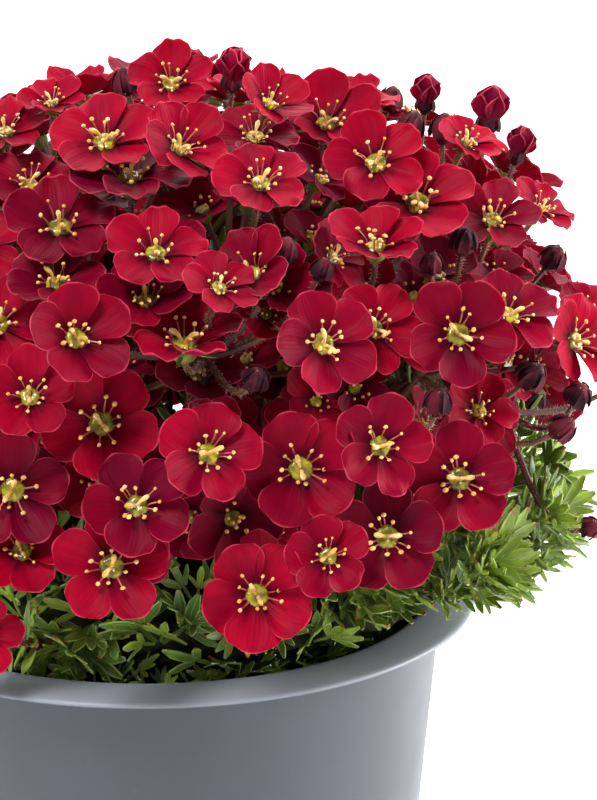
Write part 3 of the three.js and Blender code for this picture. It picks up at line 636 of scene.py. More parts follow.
@dataclass(frozen=True)
class PlainGrowth(Finish):
    """Soft plant matter in two colours that a noise blends, with a fine relief."""

    light: Colour = (0.3, 0.3, 0.1)
    dark: Colour = (0.1, 0.1, 0.03)
    patch_scale: float = 300.0
    roughness: float = 0.5
    relief_scale: float = 1500.0
    relief_mm: float = 0.12
    coat: float = 0.0
    specular: float = 0.4
    tinted: float = 0.0
    soft: float = 0.0

    def dress(self, shade: Shade) -> None:
        """Adds the two colours and the relief.

        Args:
            shade: the material's node tree.
        """
        share = shade.spread(shade.noise(self.patch_scale, 3), 0.35, 0.65)
        if self.tinted:
            share = shade.math("ADD", share, shade.math("MULTIPLY", shade.tint(), self.tinted))
        shade.sets(
            Base_Color=shade.mix(share, self.dark, self.light),
            Roughness=self.roughness,
            Specular_IOR_Level=self.specular,
            Coat_Weight=self.coat,
            Coat_Roughness=0.15,
            Subsurface_Weight=self.soft,
            Subsurface_Radius=(1.0, 0.6, 0.3),
            Subsurface_Scale=0.0008,
        )
        shade.bump(shade.noise(self.relief_scale, 2), 0.5, self.relief_mm)


@dataclass(frozen=True)
class LeafFinish(Finish):
    """Glossy leaf: a paler midrib and margin, and a tint from dark to young green."""

    young: Colour = (0.29, 0.40, 0.035)
    old: Colour = (0.040, 0.10, 0.012)
    pale: Colour = (0.52, 0.60, 0.22)
    blush: Colour = (0.20, 0.045, 0.012)
    roughness: float = 0.34

    def dress(self, shade: Shade) -> None:
        """Adds the greens, the midrib, the margin and the reddish tip.

        Args:
            shade: the material's node tree.
        """
        uv = shade.node("ShaderNodeSeparateXYZ", {0: shade.places.outputs["UV"]})
        u, v = uv.outputs[0], uv.outputs[1]
        side = shade.math("ABSOLUTE", shade.math("MULTIPLY_ADD", u, 2.0, -1.0))
        patches = shade.noise(240, 3)
        share = shade.math("MULTIPLY_ADD", shade.spread(patches, 0.3, 0.7), 0.35, shade.tint())
        green = shade.mix(shade.spread(share, 0.1, 1.25), self.old, self.young)
        green = shade.mix(shade.spread(side, 0.16, 0.02, 0.0, 0.22), green, self.pale)
        green = shade.mix(shade.spread(side, 0.80, 0.97, 0.0, 0.38), green, self.pale)
        tip = shade.math("MULTIPLY", shade.spread(v, 0.82, 1.0), shade.spread(patches, 0.52, 0.6))
        shade.sets(
            Base_Color=shade.mix(tip, green, self.blush),
            Roughness=self.roughness,
            Specular_IOR_Level=0.5,
            Subsurface_Weight=0.1,
            Subsurface_Radius=(0.5, 1.0, 0.2),
            Subsurface_Scale=0.0008,
        )
        shade.bump(shade.noise(1600, 2), 0.4, 0.1)


@dataclass(frozen=True)
class PlasticFinish(Finish):
    """Moulded blue-grey plastic: satin, with a faint orange peel, rubbed edges, and painted light
    on the collar's top.
    """

    colour: Colour = (0.044, 0.053, 0.068)
    rubbed: Colour = (0.10, 0.11, 0.125)
    # Painted light: above collar_height the plastic takes this far paler colour, so the collar's
    # top looks lit although the plant shades it.
    collar: Colour = (0.22, 0.245, 0.28)
    collar_height: float = 103.2
    roughness: float = 0.40

    def dress(self, shade: Shade) -> None:
        """Adds the peel, the uneven gloss, the faint scuffs and the painted light that makes the
        collar's top paler.

        Args:
            shade: the material's node tree.
        """
        cloud = shade.noise(28, 3)
        scuffs = shade.spread(shade.noise(420, 4, 0.7), 0.66, 0.74, 0.0, 0.22)
        body = shade.mix(shade.spread(cloud, 0.3, 0.7, 0.0, 0.14), self.colour, self.rubbed)
        height = shade.node("ShaderNodeSeparateXYZ", {0: shade.places.outputs["Object"]}).outputs[2]
        # Painted light: the colour turns far paler above the collar's height.
        painted_light_share = shade.spread(height, self.collar_height * MM, (self.collar_height + 0.6) * MM)
        body = shade.mix(painted_light_share, body, self.collar)
        shade.sets(
            Base_Color=shade.mix(scuffs, body, self.rubbed),
            Roughness=shade.spread(cloud, 0.3, 0.7, self.roughness - 0.05, self.roughness + 0.08),
            Specular_IOR_Level=0.35,
        )
        shade.bump(shade.noise(2600, 2), 0.25, 0.05)


@dataclass(frozen=True)
class StageFinish(Finish):
    """Matt studio floor."""

    colour: Colour = (0.86, 0.86, 0.86)

    def dress(self, shade: Shade) -> None:
        """Makes the floor plain and matt."""
        shade.sets(Base_Color=(*self.colour, 1.0), Roughness=0.9, Specular_IOR_Level=0.1)


# Blooms


@dataclass(frozen=True)
class Petal(Blade):
    """One petal of a bloom of radius 1: broad, rounded, and drawn in to a narrow base."""

    width: float = 0.43
    cup: float = 0.2
    hollow: float = 0.06
    wave: float = 0.02
    phase: float = 0.0
    roll: float = 0.12
    curl: float = 0.03
    reach: float = 1.0

    SPANS = (0.0, 0.12, 0.3, 0.5, 0.7, 0.88, 1.0)
    WIDTHS = (0.28, 0.44, 0.72, 0.95, 1.0, 0.83, 0.46)

    def at(self, across_share: float, along_share: float) -> Vector:
        """Returns a place on the petal, +Y away from the heart.

        Args:
            across_share: the share across, -1 to 1.
            along_share: the share along, 0 to 1.

        Returns:
            The place, in radii of the bloom.
        """
        u, v = across_share, along_share
        out = (0.12 + 0.88 * v) * self.reach
        x = u * self.width * float(np.interp(v, self.SPANS, self.WIDTHS))
        y = out - 0.08 * u * u * v * v
        z = 0.06 + self.cup * out * out + self.hollow * u * u * math.sin(math.pi * min(1, v * 1.15))
        z += self.wave * math.sin(self.phase + 4.2 * u + 3.0 * v) * v * v - self.curl * v ** 5
        return Vector((x, y, z + self.roll * x))


@dataclass(frozen=True)
class Strap(Blade):
    """A narrow pointed blade of length 1, such as a sepal, a bract or a leaf's lobe."""

    width: float = 0.16
    arch: float = 0.1
    fold: float = 0.3
    widest: float = 0.45
    root: float = 0.5
    twist: float = 0.0
    shoulder: float = 0.66
    tip: float = 0.10

    def at(self, across_share: float, along_share: float) -> Vector:
        """Returns a place on the blade, +Y towards its tip.

        Args:
            across_share: the share across, -1 to 1.
            along_share: the share along, 0 to 1.

        Returns:
            The place, in lengths of the blade.
        """
        u, v = across_share, along_share
        shares = (self.root, 1.0, self.shoulder, self.tip)
        share = float(np.interp(v, (0, self.widest, 0.8, 1), shares))
        x = u * self.width * share
        z = self.arch * v * v + self.fold * abs(x) + self.twist * x * v
        return Vector((x, v, z))


class GreenPart(IntEnum):
    """The materials of a spray's green piece, in their order."""

    STEM = 0
    SEPAL = 1
    HEART = 2
    STYLE = 3
    FILAMENT = 4
    ANTHER = 5
    BUD = 6
    HAIR = 7
    BRACT = 8


@dataclass
class BloomKit:
    """Blooms of radius 1 in several looks, made once and copied to every place."""

    open_looks: int = 10
    shade_looks: int = 9
    closing_looks: int = 3
    petals: int = 5
    stamens: int = 10
    petal_thickness: float = 0.022
    heart_radius: float = 0.22
    seed: int = 41
    corollas: list[Stock] = field(default_factory=list)
    hearts: list[Stock] = field(default_factory=list)

    STYLE_RADII = (0.045, 0.034, 0.028, 0.032, 0.046, 0.052, 0.028)

    def make(self) -> None:
        """Makes every look's petals and heart."""
        draw = np.random.default_rng(self.seed)
        for _ in range(self.open_looks):
            self.corollas.append(self.corolla(draw, 8))
            self.hearts.append(self.heart(draw))
        for look in range(self.shade_looks):
            self.corollas.append(self.corolla(draw, 4, closing=look < self.closing_looks))
            self.hearts.append(self.plain_heart(draw))

    def corolla(self, draw: np.random.Generator, faces: int, closing: bool = False) -> Stock:
        """Makes one look's five petals, each a little over its neighbour.

        Args:
            draw: the seeded draw.
            faces: how many faces a petal has across and along.
            closing: whether the petals still stand up.

        Returns:
            The petals.
        """
        width = draw.uniform(0.42, 0.49)
        cup = draw.uniform(0.7, 0.95) if closing else draw.uniform(0.24, 0.64)
        sheets = []
        for k in range(self.petals):
            shape = Petal(
                width=width * draw.uniform(0.93, 1.07),
                cup=cup + draw.uniform(-0.13, 0.13),
                hollow=draw.uniform(0.10, 0.24),
                wave=draw.uniform(0.015, 0.05),
                phase=draw.uniform(0, math.tau),
                roll=draw.uniform(0.12, 0.22),
                curl=draw.uniform(0.0, 0.20),
                reach=draw.uniform(0.95, 1.04) - (0.12 if closing else 0.0),
            )
            sheet = bent_grid(faces, faces, shape, self.petal_thickness, back=1)
            turn = math.tau * k / self.petals + draw.uniform(-0.09, 0.09) - math.pi / 2
            sheets.append(sheet.copied(self.about_axis(turn), draw.uniform(-0.16, 0.16)))
        return Stock.joined(sheets)

    @staticmethod
    def about_axis(turn: float) -> Array:
        """Returns the matrix of a turn about the bloom's axis."""
        return np.array(Matrix.Rotation(turn, 4, "Z"))

    def heart(self, draw: np.random.Generator) -> Stock:
        """Makes one look's ovary, styles, stamens and calyx.

        Args:
            draw: the seeded draw.

        Returns:
            The heart.
        """
        r = self.heart_radius
        ovary = turned([(0, -0.02), (r, -0.02), (r * 1.02, 0.05), (r * 0.86, 0.105),
                        (r * 0.62, 0.13), (r * 0.36, 0.125), (0, 0.10)], 15)
        for vert in ovary.verts:
            lobes = math.cos(5 * math.atan2(vert.co.y, vert.co.x) + 1.0)
            vert.co.z += 0.018 * lobes * math.hypot(vert.co.x, vert.co.y) / r
        parts = [Stock.of(ovary, GreenPart.HEART)]
        parts += self.styles(draw) + self.ring_of_stamens(draw) + self.calyx(draw)
        return Stock.joined(parts)

    def plain_heart(self, draw: np.random.Generator) -> Stock:
        """Makes the ovary, anthers and calyx of a bloom in the shade.

        Args:
            draw: the seeded draw.

        Returns:
            The heart.
        """
        r = self.heart_radius
        ovary = turned([(0, -0.02), (r, 0.0), (0.7 * r, 0.12), (0, 0.10)], 8)
        cup = turned([(0, -0.24), (0.12, -0.24), (0.24, 0.0), (0, 0.02)], 6)
        parts = [Stock.of(ovary, GreenPart.HEART), Stock.of(cup, GreenPart.SEPAL)]
        for k in range(self.stamens):
            a = math.tau * (k + draw.uniform(-0.4, 0.4)) / self.stamens
            reach = draw.uniform(0.06, 0.40)
            bm = bmesh.new()
            bmesh.ops.create_icosphere(bm, subdivisions=1, radius=draw.uniform(0.034, 0.052))
            spot = (reach * math.cos(a), reach * math.sin(a), draw.uniform(0.16, 0.32))
            bmesh.ops.translate(bm, vec=spot, verts=bm.verts)
            parts.append(Stock.of(bm, GreenPart.ANTHER))
        return Stock.joined(parts)

    def styles(self, draw: np.random.Generator) -> list[Stock]:
        """Makes the two curved styles, thick at their tips.

        Args:
            draw: the seeded draw.

        Returns:
            The two styles.
        """
        turn = draw.uniform(0, math.tau)
        made = []
        for side in (0, math.pi):
            a = turn + side + draw.uniform(-0.25, 0.25)
            out = np.array([math.cos(a), math.sin(a), 0.0])
            reach, rise = draw.uniform(0.15, 0.26), draw.uniform(0.22, 0.32)
            tip = out * reach + UP * (rise + 0.05)
            path = bezier(out * 0.03 + UP * 0.10, out * 0.05 + UP * rise, tip, 7)
            made.append(swept(path, self.STYLE_RADII, 6, GreenPart.STYLE))
        return made

    def ring_of_stamens(self, draw: np.random.Generator) -> list[Stock]:
        """Makes the stamens: a thin filament each, with a small round anther.

        Args:
            draw: the seeded draw.

        Returns:
            The filaments and anthers.
        """
        made = []
        for k in range(self.stamens):
            a = math.tau * (k + draw.uniform(-0.4, 0.4)) / self.stamens
            out = np.array([math.cos(a), math.sin(a), 0.0])
            tip = out * draw.uniform(0.20, 0.43) + UP * draw.uniform(0.20, 0.42)
            path = bezier(out * 0.18 + UP * 0.07, out * 0.22 + UP * 0.24, tip, 4)
            made.append(swept(path, [0.020, 0.017, 0.014, 0.012], 3, GreenPart.FILAMENT))
            bm = bmesh.new()
            bmesh.ops.create_icosphere(bm, subdivisions=1, radius=draw.uniform(0.030, 0.047))
            bmesh.ops.scale(bm, vec=(draw.uniform(0.8, 1.4), 1.0, 0.85), verts=bm.verts)
            bmesh.ops.translate(bm, vec=(tip + UP * 0.02).tolist(), verts=bm.verts)
            made.append(Stock.of(bm, GreenPart.ANTHER))
        return made

    def calyx(self, draw: np.random.Generator) -> list[Stock]:
        """Makes the cup under the petals and its five sepals.

        Args:
            draw: the seeded draw.

        Returns:
            The cup and the sepals.
        """
        cup = turned([(0, -0.26), (0.085, -0.26), (0.17, -0.20), (0.245, -0.08), (0.25, 0.03),
                      (0, 0.03)], 10)
        made = [Stock.of(cup, GreenPart.SEPAL)]
        for k in range(self.petals):
            arch = draw.uniform(0.10, 0.16)
            shape = Strap(width=0.095, arch=arch, fold=0.2, widest=0.3, root=0.9)
            sepal = bent_grid(2, 4, shape, 0.03)
            sepal.finishes[:] = GreenPart.SEPAL
            turn = math.tau * (k + 0.5) / self.petals + draw.uniform(-0.08, 0.08) - math.pi / 2
            grown = Matrix.Rotation(turn, 4, "Z") @ Matrix.Translation((0, 0.2, -0.03))
            grown = grown @ Matrix.Scale(0.42, 4)
            made.append(sepal.copied(np.array(grown)))
        return made


@dataclass
class BudKit:
    """Buds of radius 1, their foot at the origin: dark closed ones, and a tight red one."""

    seed: int = 97
    dark: list[Stock] = field(default_factory=list)
    red: list[Stock] = field(default_factory=list)

    def make(self) -> None:
        """Makes both kinds in a few looks."""
        draw = np.random.default_rng(self.seed)
        self.dark = [self.closed(draw) for _ in range(4)]
        self.red = [self.opening(draw) for _ in range(2)]

    def closed(self, draw: np.random.Generator) -> Stock:
        """Makes a maroon ovoid in its calyx teeth.

        Args:
            draw: the seeded draw.

        Returns:
            The bud.
        """
        parts = [Stock.of(turned([(0, -0.1), (0.3, 0.0), (0.62, 0.42), (0.72, 0.8), (0.58, 1.25),
                                  (0.28, 1.62), (0, 1.78)], 10), GreenPart.BUD)]
        for k in range(5):
            shape = Strap(width=0.30, arch=0.42, fold=-0.35, widest=0.3, root=0.8)
            tooth = bent_grid(2, 4, shape, 0.05)
            tooth.finishes[:] = GreenPart.BUD
            lean = Matrix.Rotation(math.tau * k / 5 + draw.uniform(-0.1, 0.1), 4, "Z")
            lean = lean @ Matrix.Translation((0, 0.66, 0.40)) @ Matrix.Rotation(1.40, 4, "X")
            parts.append(tooth.copied(np.array(lean @ Matrix.Scale(1.15, 4))))
        return Stock.joined(parts)

    def opening(self, draw: np.random.Generator) -> Stock:
        """Makes a bud whose rolled petals show; their faces have the petals' finish, number 0.

        Args:
            draw: the seeded draw.

        Returns:
            The bud.
        """
        parts = []
        for k in range(5):
            shape = Petal(width=0.36, cup=0.05, hollow=0.34, wave=0.03,
                          phase=draw.uniform(0, 6), roll=0.4, curl=-0.12, reach=1.0)
            sheet = bent_grid(6, 6, shape, 0.03, back=1)
            lean = Matrix.Rotation(math.tau * k / 5 + draw.uniform(-0.1, 0.1), 4, "Z")
            rise = Matrix.Rotation(draw.uniform(1.44, 1.56), 4, "X")
            lean = lean @ Matrix.Translation((0, 0.42, 0.1)) @ rise @ Matrix.Scale(1.75, 4)
            parts.append(sheet.copied(np.array(lean), draw.uniform(-0.2, 0.5)))
        return Stock.joined(parts)


@dataclass
class Fur:
    """Fine gland hairs that stand out of stems, buds and calyces."""

    per_mm: float = 9.0
    length: tuple[float, float] = (0.4, 1.0)
    radius: float = 0.030
    lean: float = 0.35

    def hair(self) -> Stock:
        """Makes one hair of length 1 along +Z.

        Returns:
            The hair.
        """
        bm = bmesh.new()
        bmesh.ops.create_cone(bm, cap_ends=True, segments=3, radius1=self.radius, radius2=0.0,
                              depth=1.0)
        bmesh.ops.translate(bm, vec=(0, 0, 0.5), verts=bm.verts)
        return Stock.of(bm, GreenPart.HAIR)

    def on_rod(self, path: Array, radii: Sequence[float], draw: np.random.Generator) -> Array:
        """Returns the places of the hairs on a rod, as (k, 4, 4) matrices.

        Args:
            path: (n, 3) points in mm.
            radii: the radius at each point, in mm.
            draw: the seeded draw.

        Returns:
            The (k, 4, 4) places of the hairs.
        """
        steps = np.linalg.norm(np.diff(path, axis=0), axis=1)
        along = np.concatenate([[0], np.cumsum(steps)])
        count = int(along[-1] * self.per_mm)
        frames = frames_along(path)
        spots = draw.uniform(0, along[-1], count)
        turns = draw.uniform(0, math.tau, count)
        lengths = draw.uniform(*self.length, count)
        leans = draw.uniform(-self.lean, self.lean, (count, 2))
        nearest = np.clip(np.searchsorted(along, spots), 1, len(path) - 1)
        share = (spots - along[nearest - 1]) / np.maximum(steps[nearest - 1], 1e-6)
        centres = path[nearest - 1] + (path[nearest] - path[nearest - 1]) * share[:, None]
        side, rise, line = (frames[nearest][:, :, i] for i in range(3))
        out = side * np.cos(turns)[:, None] + rise * np.sin(turns)[:, None]
        roots = centres + out * (np.asarray(radii)[nearest] * 0.9)[:, None]
        z = out + line * (0.15 + leans[:, :1]) + np.cross(line, out) * leans[:, 1:]
        z /= np.linalg.norm(z, axis=1)[:, None]
        x = np.cross(z, line)
        x /= np.linalg.norm(x, axis=1)[:, None]
        matrices = np.tile(np.eye(4), (count, 1, 1))
        matrices[:, :3, 0] = x
        matrices[:, :3, 1] = np.cross(z, x)
        matrices[:, :3, 2] = z * lengths[:, None]
        matrices[:, :3, 3] = roots
        return matrices


def cup_height(share: Array) -> Array:
    """Returns the height of a bloom's petals over its heart, both in radii."""
    return 0.06 + 0.22 * share * share


def tenths(values: Array) -> Array:
    """Rounds lengths to a tenth of a millimetre, halves upwards."""
    return np.floor(np.asarray(values, float) * 10 + 0.5) / 10


@dataclass
class Head:
    """A bloom or bud: its place, the way it faces, its turn and radius, and its pedicel's bend."""

    place: Array
    facing: Array
    turn: float
    radius: float
    bend: Array = field(default_factory=lambda: np.zeros(3))
    look: int = 0

    CALYX_DEPTH = 0.16
    HEART_HEIGHT = 0.26
    PETAL_REACH = 1.04
    PETAL_CLEAR = 1.5

    def foot(self) -> Array:
        """Returns the place where the pedicel ends."""
        return self.place - self.CALYX_DEPTH * self.radius * self.facing

    def petal_points(self, shares: Sequence[float]) -> Array:
        """Finds ten places round the petals at each distance from the axis.

        Args:
            shares: the distances, in radii.

        Returns:
            (n, 3) places in mm.
        """
        angles = np.arange(10) * math.tau / 10
        local = [(r * math.cos(a), r * math.sin(a), cup_height(r), 1)
                 for r in shares for a in angles]
        matrix = standing(self.place, self.facing, self.turn, self.radius)
        return (np.array(local) @ matrix.T)[:, :3]

    def touches(self, other: "Head") -> bool:
        """Tells whether a petal or the heart runs into another bloom.

        Args:
            other: the other bloom.

        Returns:
            Whether any of its points does.
        """
        axes = standing(other.place, other.facing, other.turn, other.radius)[:3, :3]
        points = self.petal_points((0, 0.55, 0.8, 1)) - other.place
        local = points @ np.linalg.inv(axes).T
        away = np.hypot(local[:, 0], local[:, 1])
        gap = np.abs(local[:, 2] - cup_height(away)) * other.radius
        return bool(np.any((away < self.PETAL_REACH) & (gap < self.PETAL_CLEAR)))

    def rounded(self) -> "Head":
        """Rounds its lengths and its angles.

        Returns:
            The head, in tenths of a millimetre and whole degrees.
        """
        azimuth = math.degrees(math.atan2(self.facing[1], self.facing[0]))
        height = math.degrees(math.asin(min(1.0, self.facing[2])))
        facing = direction(math.floor(azimuth + 0.5), math.floor(height + 0.5))
        turn = math.radians(math.floor(math.degrees(self.turn) + 0.5))
        return Head(tenths(self.place), facing, turn, float(tenths(self.radius)), tenths(self.bend))


@dataclass
class Spray:
    """A flowering stem with its pedicels, blooms, buds and bracts."""

    number: int
    node: str
    foot: Array
    bend: Array
    branch: Array
    blooms: list[Head]
    buds: list[Head]
    under: list[Head] = field(default_factory=list)
    stem_radius: float = 1.0
    pedicel_radii: tuple[float, float] = (0.66, 0.5)
    plain_sides: int = 4
    red_bud_radius: float = 3.9

    @property
    def name(self) -> str:
        """The first part of its pieces' names."""
        return f"stem_{self.number:02d}"

    def rods(self) -> list[tuple[Array, list[float], int]]:
        """Returns each rod's path, radii and sides: the stem, then the pedicels.

        Returns:
            Each rod's path, radii and number of sides.
        """
        path = bezier(self.foot, self.bend, self.branch, 9)
        made = [(path, np.linspace(self.stem_radius, 0.82 * self.stem_radius, 9).tolist(), 8)]
        for head in self.blooms + self.buds:
            path = bezier(self.branch, head.bend, head.foot(), 7)
            made.append((path, np.linspace(*self.pedicel_radii, 7).tolist(), 6))
        for head in self.under:
            path = bezier(self.branch, head.bend, head.foot(), 5)
            made.append((path, np.linspace(*self.pedicel_radii, 5).tolist(), self.plain_sides))
        return made

    def corollas(self, kit: BloomKit, buds: BudKit, draw: np.random.Generator) -> Stock:
        """Makes the petals of every bloom and of the red buds.

        Args:
            kit: the stock of blooms.
            buds: the stock of buds.
            draw: the seeded draw.

        Returns:
            The petals.
        """
        parts = []
        for head in self.blooms + self.under:
            look = kit.corollas[head.look]
            place = standing(head.place, head.facing, head.turn, head.radius)
            parts.append(look.copied(place, draw.uniform(0.2, 1.0)))
        for head in self.buds:
            if head.radius >= self.red_bud_radius:
                look = buds.red[int(draw.integers(len(buds.red)))]
                parts.append(look.copied(standing(head.foot(), head.facing, 0.0, head.radius), 0.1))
        return Stock.joined(parts)

    def greens(self, kit: BloomKit, buds: BudKit, fur: Fur, draw: np.random.Generator) -> Stock:
        """Makes the stem, pedicels, hearts, buds, bracts and hairs.

        Args:
            kit: the stock of blooms.
            buds: the stock of buds.
            fur: the maker of the hairs.
            draw: the seeded draw.

        Returns:
            The green parts.
        """
        parts, hairs = [], []
        for path, radii, sides in self.rods():
            parts.append(swept(path, radii, sides, GreenPart.STEM))
            if sides > self.plain_sides:
                hairs.append(fur.on_rod(path, radii, draw))
        for head in self.blooms + self.under:
            look = kit.hearts[head.look]
            parts.append(look.copied(standing(head.place, head.facing, head.turn, head.radius)))
        for head in self.buds:
            look = buds.dark[int(draw.integers(len(buds.dark)))]
            size = head.radius if head.radius < self.red_bud_radius else 0.55 * head.radius
            parts.append(look.copied(standing(head.foot(), head.facing, draw.uniform(0, 6), size)))
            core = np.array([head.foot() + head.facing * size * t for t in (0.2, 0.7, 1.2, 1.7)])
            radii = [share * size for share in (0.45, 0.66, 0.55, 0.2)]
            hairs.append(fur.on_rod(core, radii, draw))
        parts += self.bracts(draw)
        parts.append(fur.hair().copied(np.concatenate(hairs)))
        return Stock.joined(parts)

    def bracts(self, draw: np.random.Generator) -> list[Stock]:
        """Makes the narrow leaves on the stem and one at the foot of each pedicel.

        Args:
            draw: the seeded draw.

        Returns:
            The bracts.
        """
        shape = Strap(width=0.115, arch=0.18, fold=0.5, widest=0.5, root=0.55, twist=0.6)
        blade = bent_grid(2, 5, shape, 0.035)
        blade.finishes[:] = GreenPart.BRACT
        path = bezier(self.foot, self.bend, self.branch, 41)
        frames = frames_along(path)
        places = []
        count = 3 + len(self.blooms)
        for k in range(count):
            i = int(np.interp(k, (0, count - 1), (14, 38)))
            a = self.number + k * GOLDEN_ANGLE
            side = frames[i][:, 0] * math.cos(a) + frames[i][:, 1] * math.sin(a)
            line = frames[i][:, 2]
            along = unit(side + line * draw.uniform(0.4, 1.1) + 0.25 * UP)
            root = path[i] + side * 0.7
            places.append(laid(root, along, line - 0.4 * side, draw.uniform(6.5, 10.0)))
        return [blade.copied(np.array(places), draw.uniform(0.1, 0.9, count))]


# Cushion


class CushionPart(IntEnum):
    """The materials of the cushion's pieces, in their order."""

    THATCH_AND_SHADE = 0
    LEAF = 1
    SHOOT = 2


@dataclass
class Cushion:
    """Rosettes of cut leaves over a dark thatch that also paints the shade deep inside the cushion,
    with leafy shoots that spill over the collar.
    """

    centre: tuple[float, float, float] = (7.0, 0.0, 108.0)
    radii: tuple[float, float, float] = (49.0, 43.0, 21.0)
    foot_radius: float = 43.0
    foot_height: float = 97.5
    rosettes: int = 78
    leaves: int = 8
    leaf_length: tuple[float, float] = (8.5, 14.0)
    collar_height: float = 105.6
    mouth_radius: float = 49.6
    shoots: int = 5
    inner_shoots: int = 14
    mat_shoots: int = 46
    rim_rosettes: int = 44
    smallest_crown: float = 0.8
    edge_rise: float = 0.3
    seed: int = 5

    def leaf(self, lobes: int, draw: np.random.Generator) -> Stock:
        """Makes a leaf of length 1: a widening stalk that is cut into narrow lobes.

        Args:
            lobes: how many lobes it has.
            draw: the seeded draw.

        Returns:
            The leaf, its root at the origin, along +Y.
        """
        stalk = Strap(width=0.085, arch=0.05, fold=0.5, widest=0.95, root=0.45)
        parts = [bent_grid(1, 2, stalk, 0.035).copied(np.array(Matrix.Scale(0.55, 4)))]
        fan = math.radians(34 if lobes == 3 else 58)
        for k in range(lobes):
            t = 2 * k / (lobes - 1) - 1
            shape = Strap(width=draw.uniform(0.125, 0.165), arch=draw.uniform(0.0, 0.26), fold=0.4,
                          widest=draw.uniform(0.45, 0.65), root=0.6, twist=draw.uniform(-0.4, 0.4),
                          shoulder=0.88, tip=0.30)
            size = (0.66 - 0.16 * abs(t)) * draw.uniform(0.88, 1.1)
            turn = Matrix.Rotation(-t * fan + draw.uniform(-0.06, 0.06), 4, "Z")
            start = Matrix.Translation((0.03 * t, 0.47 - 0.05 * abs(t), 0.02))
            lobe = bent_grid(2, 3, shape, 0.05)
            parts.append(lobe.copied(np.array(start @ turn @ Matrix.Scale(size, 4))))
        made = Stock.joined(parts)
        made.finishes[:] = CushionPart.LEAF
        return made

    def thatch_and_shade(self) -> Stock:
        """Makes the lumpy core, dark with painted shade, on its plug in the pot's mouth.

        Returns:
            The core.
        """
        bm = bmesh.new()
        bmesh.ops.create_icosphere(bm, subdivisions=5, radius=1.0)
        bmesh.ops.scale(bm, vec=self.radii, verts=bm.verts)
        bmesh.ops.translate(bm, vec=self.centre, verts=bm.verts)
        for vert in bm.verts:
            p = vert.co
            lump = math.sin(p.x * 0.9) * math.sin(p.y * 0.8 + 1.0)
            lump += 0.6 * math.sin(p.x * 1.9 + p.y * 1.4)
            vert.co = p + (p - Vector(self.centre)).normalized() * (0.9 * lump - 1.0)
            if vert.co.z < self.foot_height + 9:
                reach = math.hypot(vert.co.x, vert.co.y)
                share = min(1.0, self.foot_radius / max(reach, 1e-6))
                vert.co.x *= share
                vert.co.y *= share
            vert.co.z = max(vert.co.z, self.foot_height)
        bmesh.ops.recalc_face_normals(bm, faces=bm.faces)
        return Stock.of(bm, CushionPart.THATCH_AND_SHADE)

    def crowns(self, draw: np.random.Generator) -> list[tuple[Array, Array, float]]:
        """Places the rosettes: over the core, then just inside the mouth's edge.

        Args:
            draw: the seeded draw.

        Returns:
            A centre, a direction and a size for each rosette.
        """
        made = []
        for i in range(self.rosettes):
            height = -0.20 + 1.18 * (i + 0.5) / self.rosettes
            a = i * GOLDEN_ANGLE
            out = math.sqrt(max(0.0, 1 - height * height))
            spot = np.array([out * math.cos(a), out * math.sin(a), height])
            normal = unit(spot / np.array(self.radii))
            made.append((spot * self.radii + self.centre, normal, draw.uniform(0.85, 1.15)))
        for i in range(self.rim_rosettes):
            a = math.tau * (i + draw.uniform(-0.3, 0.3)) / self.rim_rosettes
            out = np.array([math.cos(a), math.sin(a), 0.0])
            root = out * draw.uniform(41, 44.5) + UP * draw.uniform(99, 103)
            made.append((root, unit(0.5 * out + UP), draw.uniform(0.55, 0.78)))
        return made

    def shoot_lines(self, draw: np.random.Generator) -> list[tuple[Array, Array]]:
        """Places the shoots: some over the collar, a mat on the right, the rest among stems.

        Args:
            draw: the seeded draw.

        Returns:
            A path and a direction for each shoot.
        """
        centre, radii = np.array(self.centre), np.array(self.radii)
        made = []
        for i in range(self.shoots):
            a = math.radians(-38 + 19 * i)
            out = np.array([math.cos(a), math.sin(a), 0.0])
            root = out * radii + centre - 4 * out + UP * (4 - 3 * (i % 2))
            tip = root + 19 * out + UP * (8 + 2 * (i % 2))
            made.append((bezier(root, root + 10.2 * out - UP, tip, 7), unit(out + 0.7 * UP)))
        for i in range(self.mat_shoots):
            a = math.radians(-52 + 116 * (i * 0.618034 % 1.0))
            out = np.array([math.cos(a), math.sin(a), 0.0])
            root = out * radii * 0.85 + centre + UP * draw.uniform(-1, 8)
            tip = centre + out * (radii + draw.uniform(-4, 19)) + UP * draw.uniform(2, 19)
            made.append((bezier(root, 0.5 * (root + tip) + 2 * UP, tip, 6), unit(out + 0.5 * UP)))
        for i in range(self.inner_shoots):
            height = 0.12 + 0.86 * (i + 0.5) / self.inner_shoots
            a = i * GOLDEN_ANGLE + 1.0
            wide = math.sqrt(1 - height * height)
            out = np.array([wide * math.cos(a), wide * math.sin(a), height])
            root = out * radii * 0.9 + centre
            reach = np.array([52, 48, 50]) * draw.uniform(0.85, 1.0)
            tip = np.array([10.0, 0.0, 132.0]) + out * reach
            bend = 0.5 * (root + tip) + draw.uniform(-4, 4, 3)
            made.append((bezier(root, bend, tip, 6), unit(tip - root)))
        return made

    def whorl(self, centre: Array, normal: Array, count: int, size: float,
              draw: np.random.Generator) -> list[tuple[Array, int, float]]:
        """Places the leaves of one rosette.

        Args:
            centre: the rosette's place.
            normal: its direction.
            count: how many leaves it has.
            size: the scale of its leaves.
            draw: the seeded draw.

        Returns:
            Each leaf's matrix, its look and its tint.
        """
        side, rise = across(normal)
        start = draw.uniform(0, math.tau)
        made = []
        for k in range(count):
            a = start + k * GOLDEN_ANGLE
            tilt = 0.35 + 1.3 * (k / count) + draw.uniform(-0.1, 0.15)
            out = side * math.cos(a) + rise * math.sin(a)
            along = unit(out + normal * tilt)
            length = size * draw.uniform(*self.leaf_length) * (1 - 0.28 * k / count)
            matrix = laid(centre + out * 0.8, along, unit(normal - 0.6 * out), length)
            tint = float(np.clip(0.1 + 0.5 * k / count + draw.uniform(-0.1, 0.35), 0, 1))
            made.append((matrix, int(draw.integers(6)), tint))
        return made

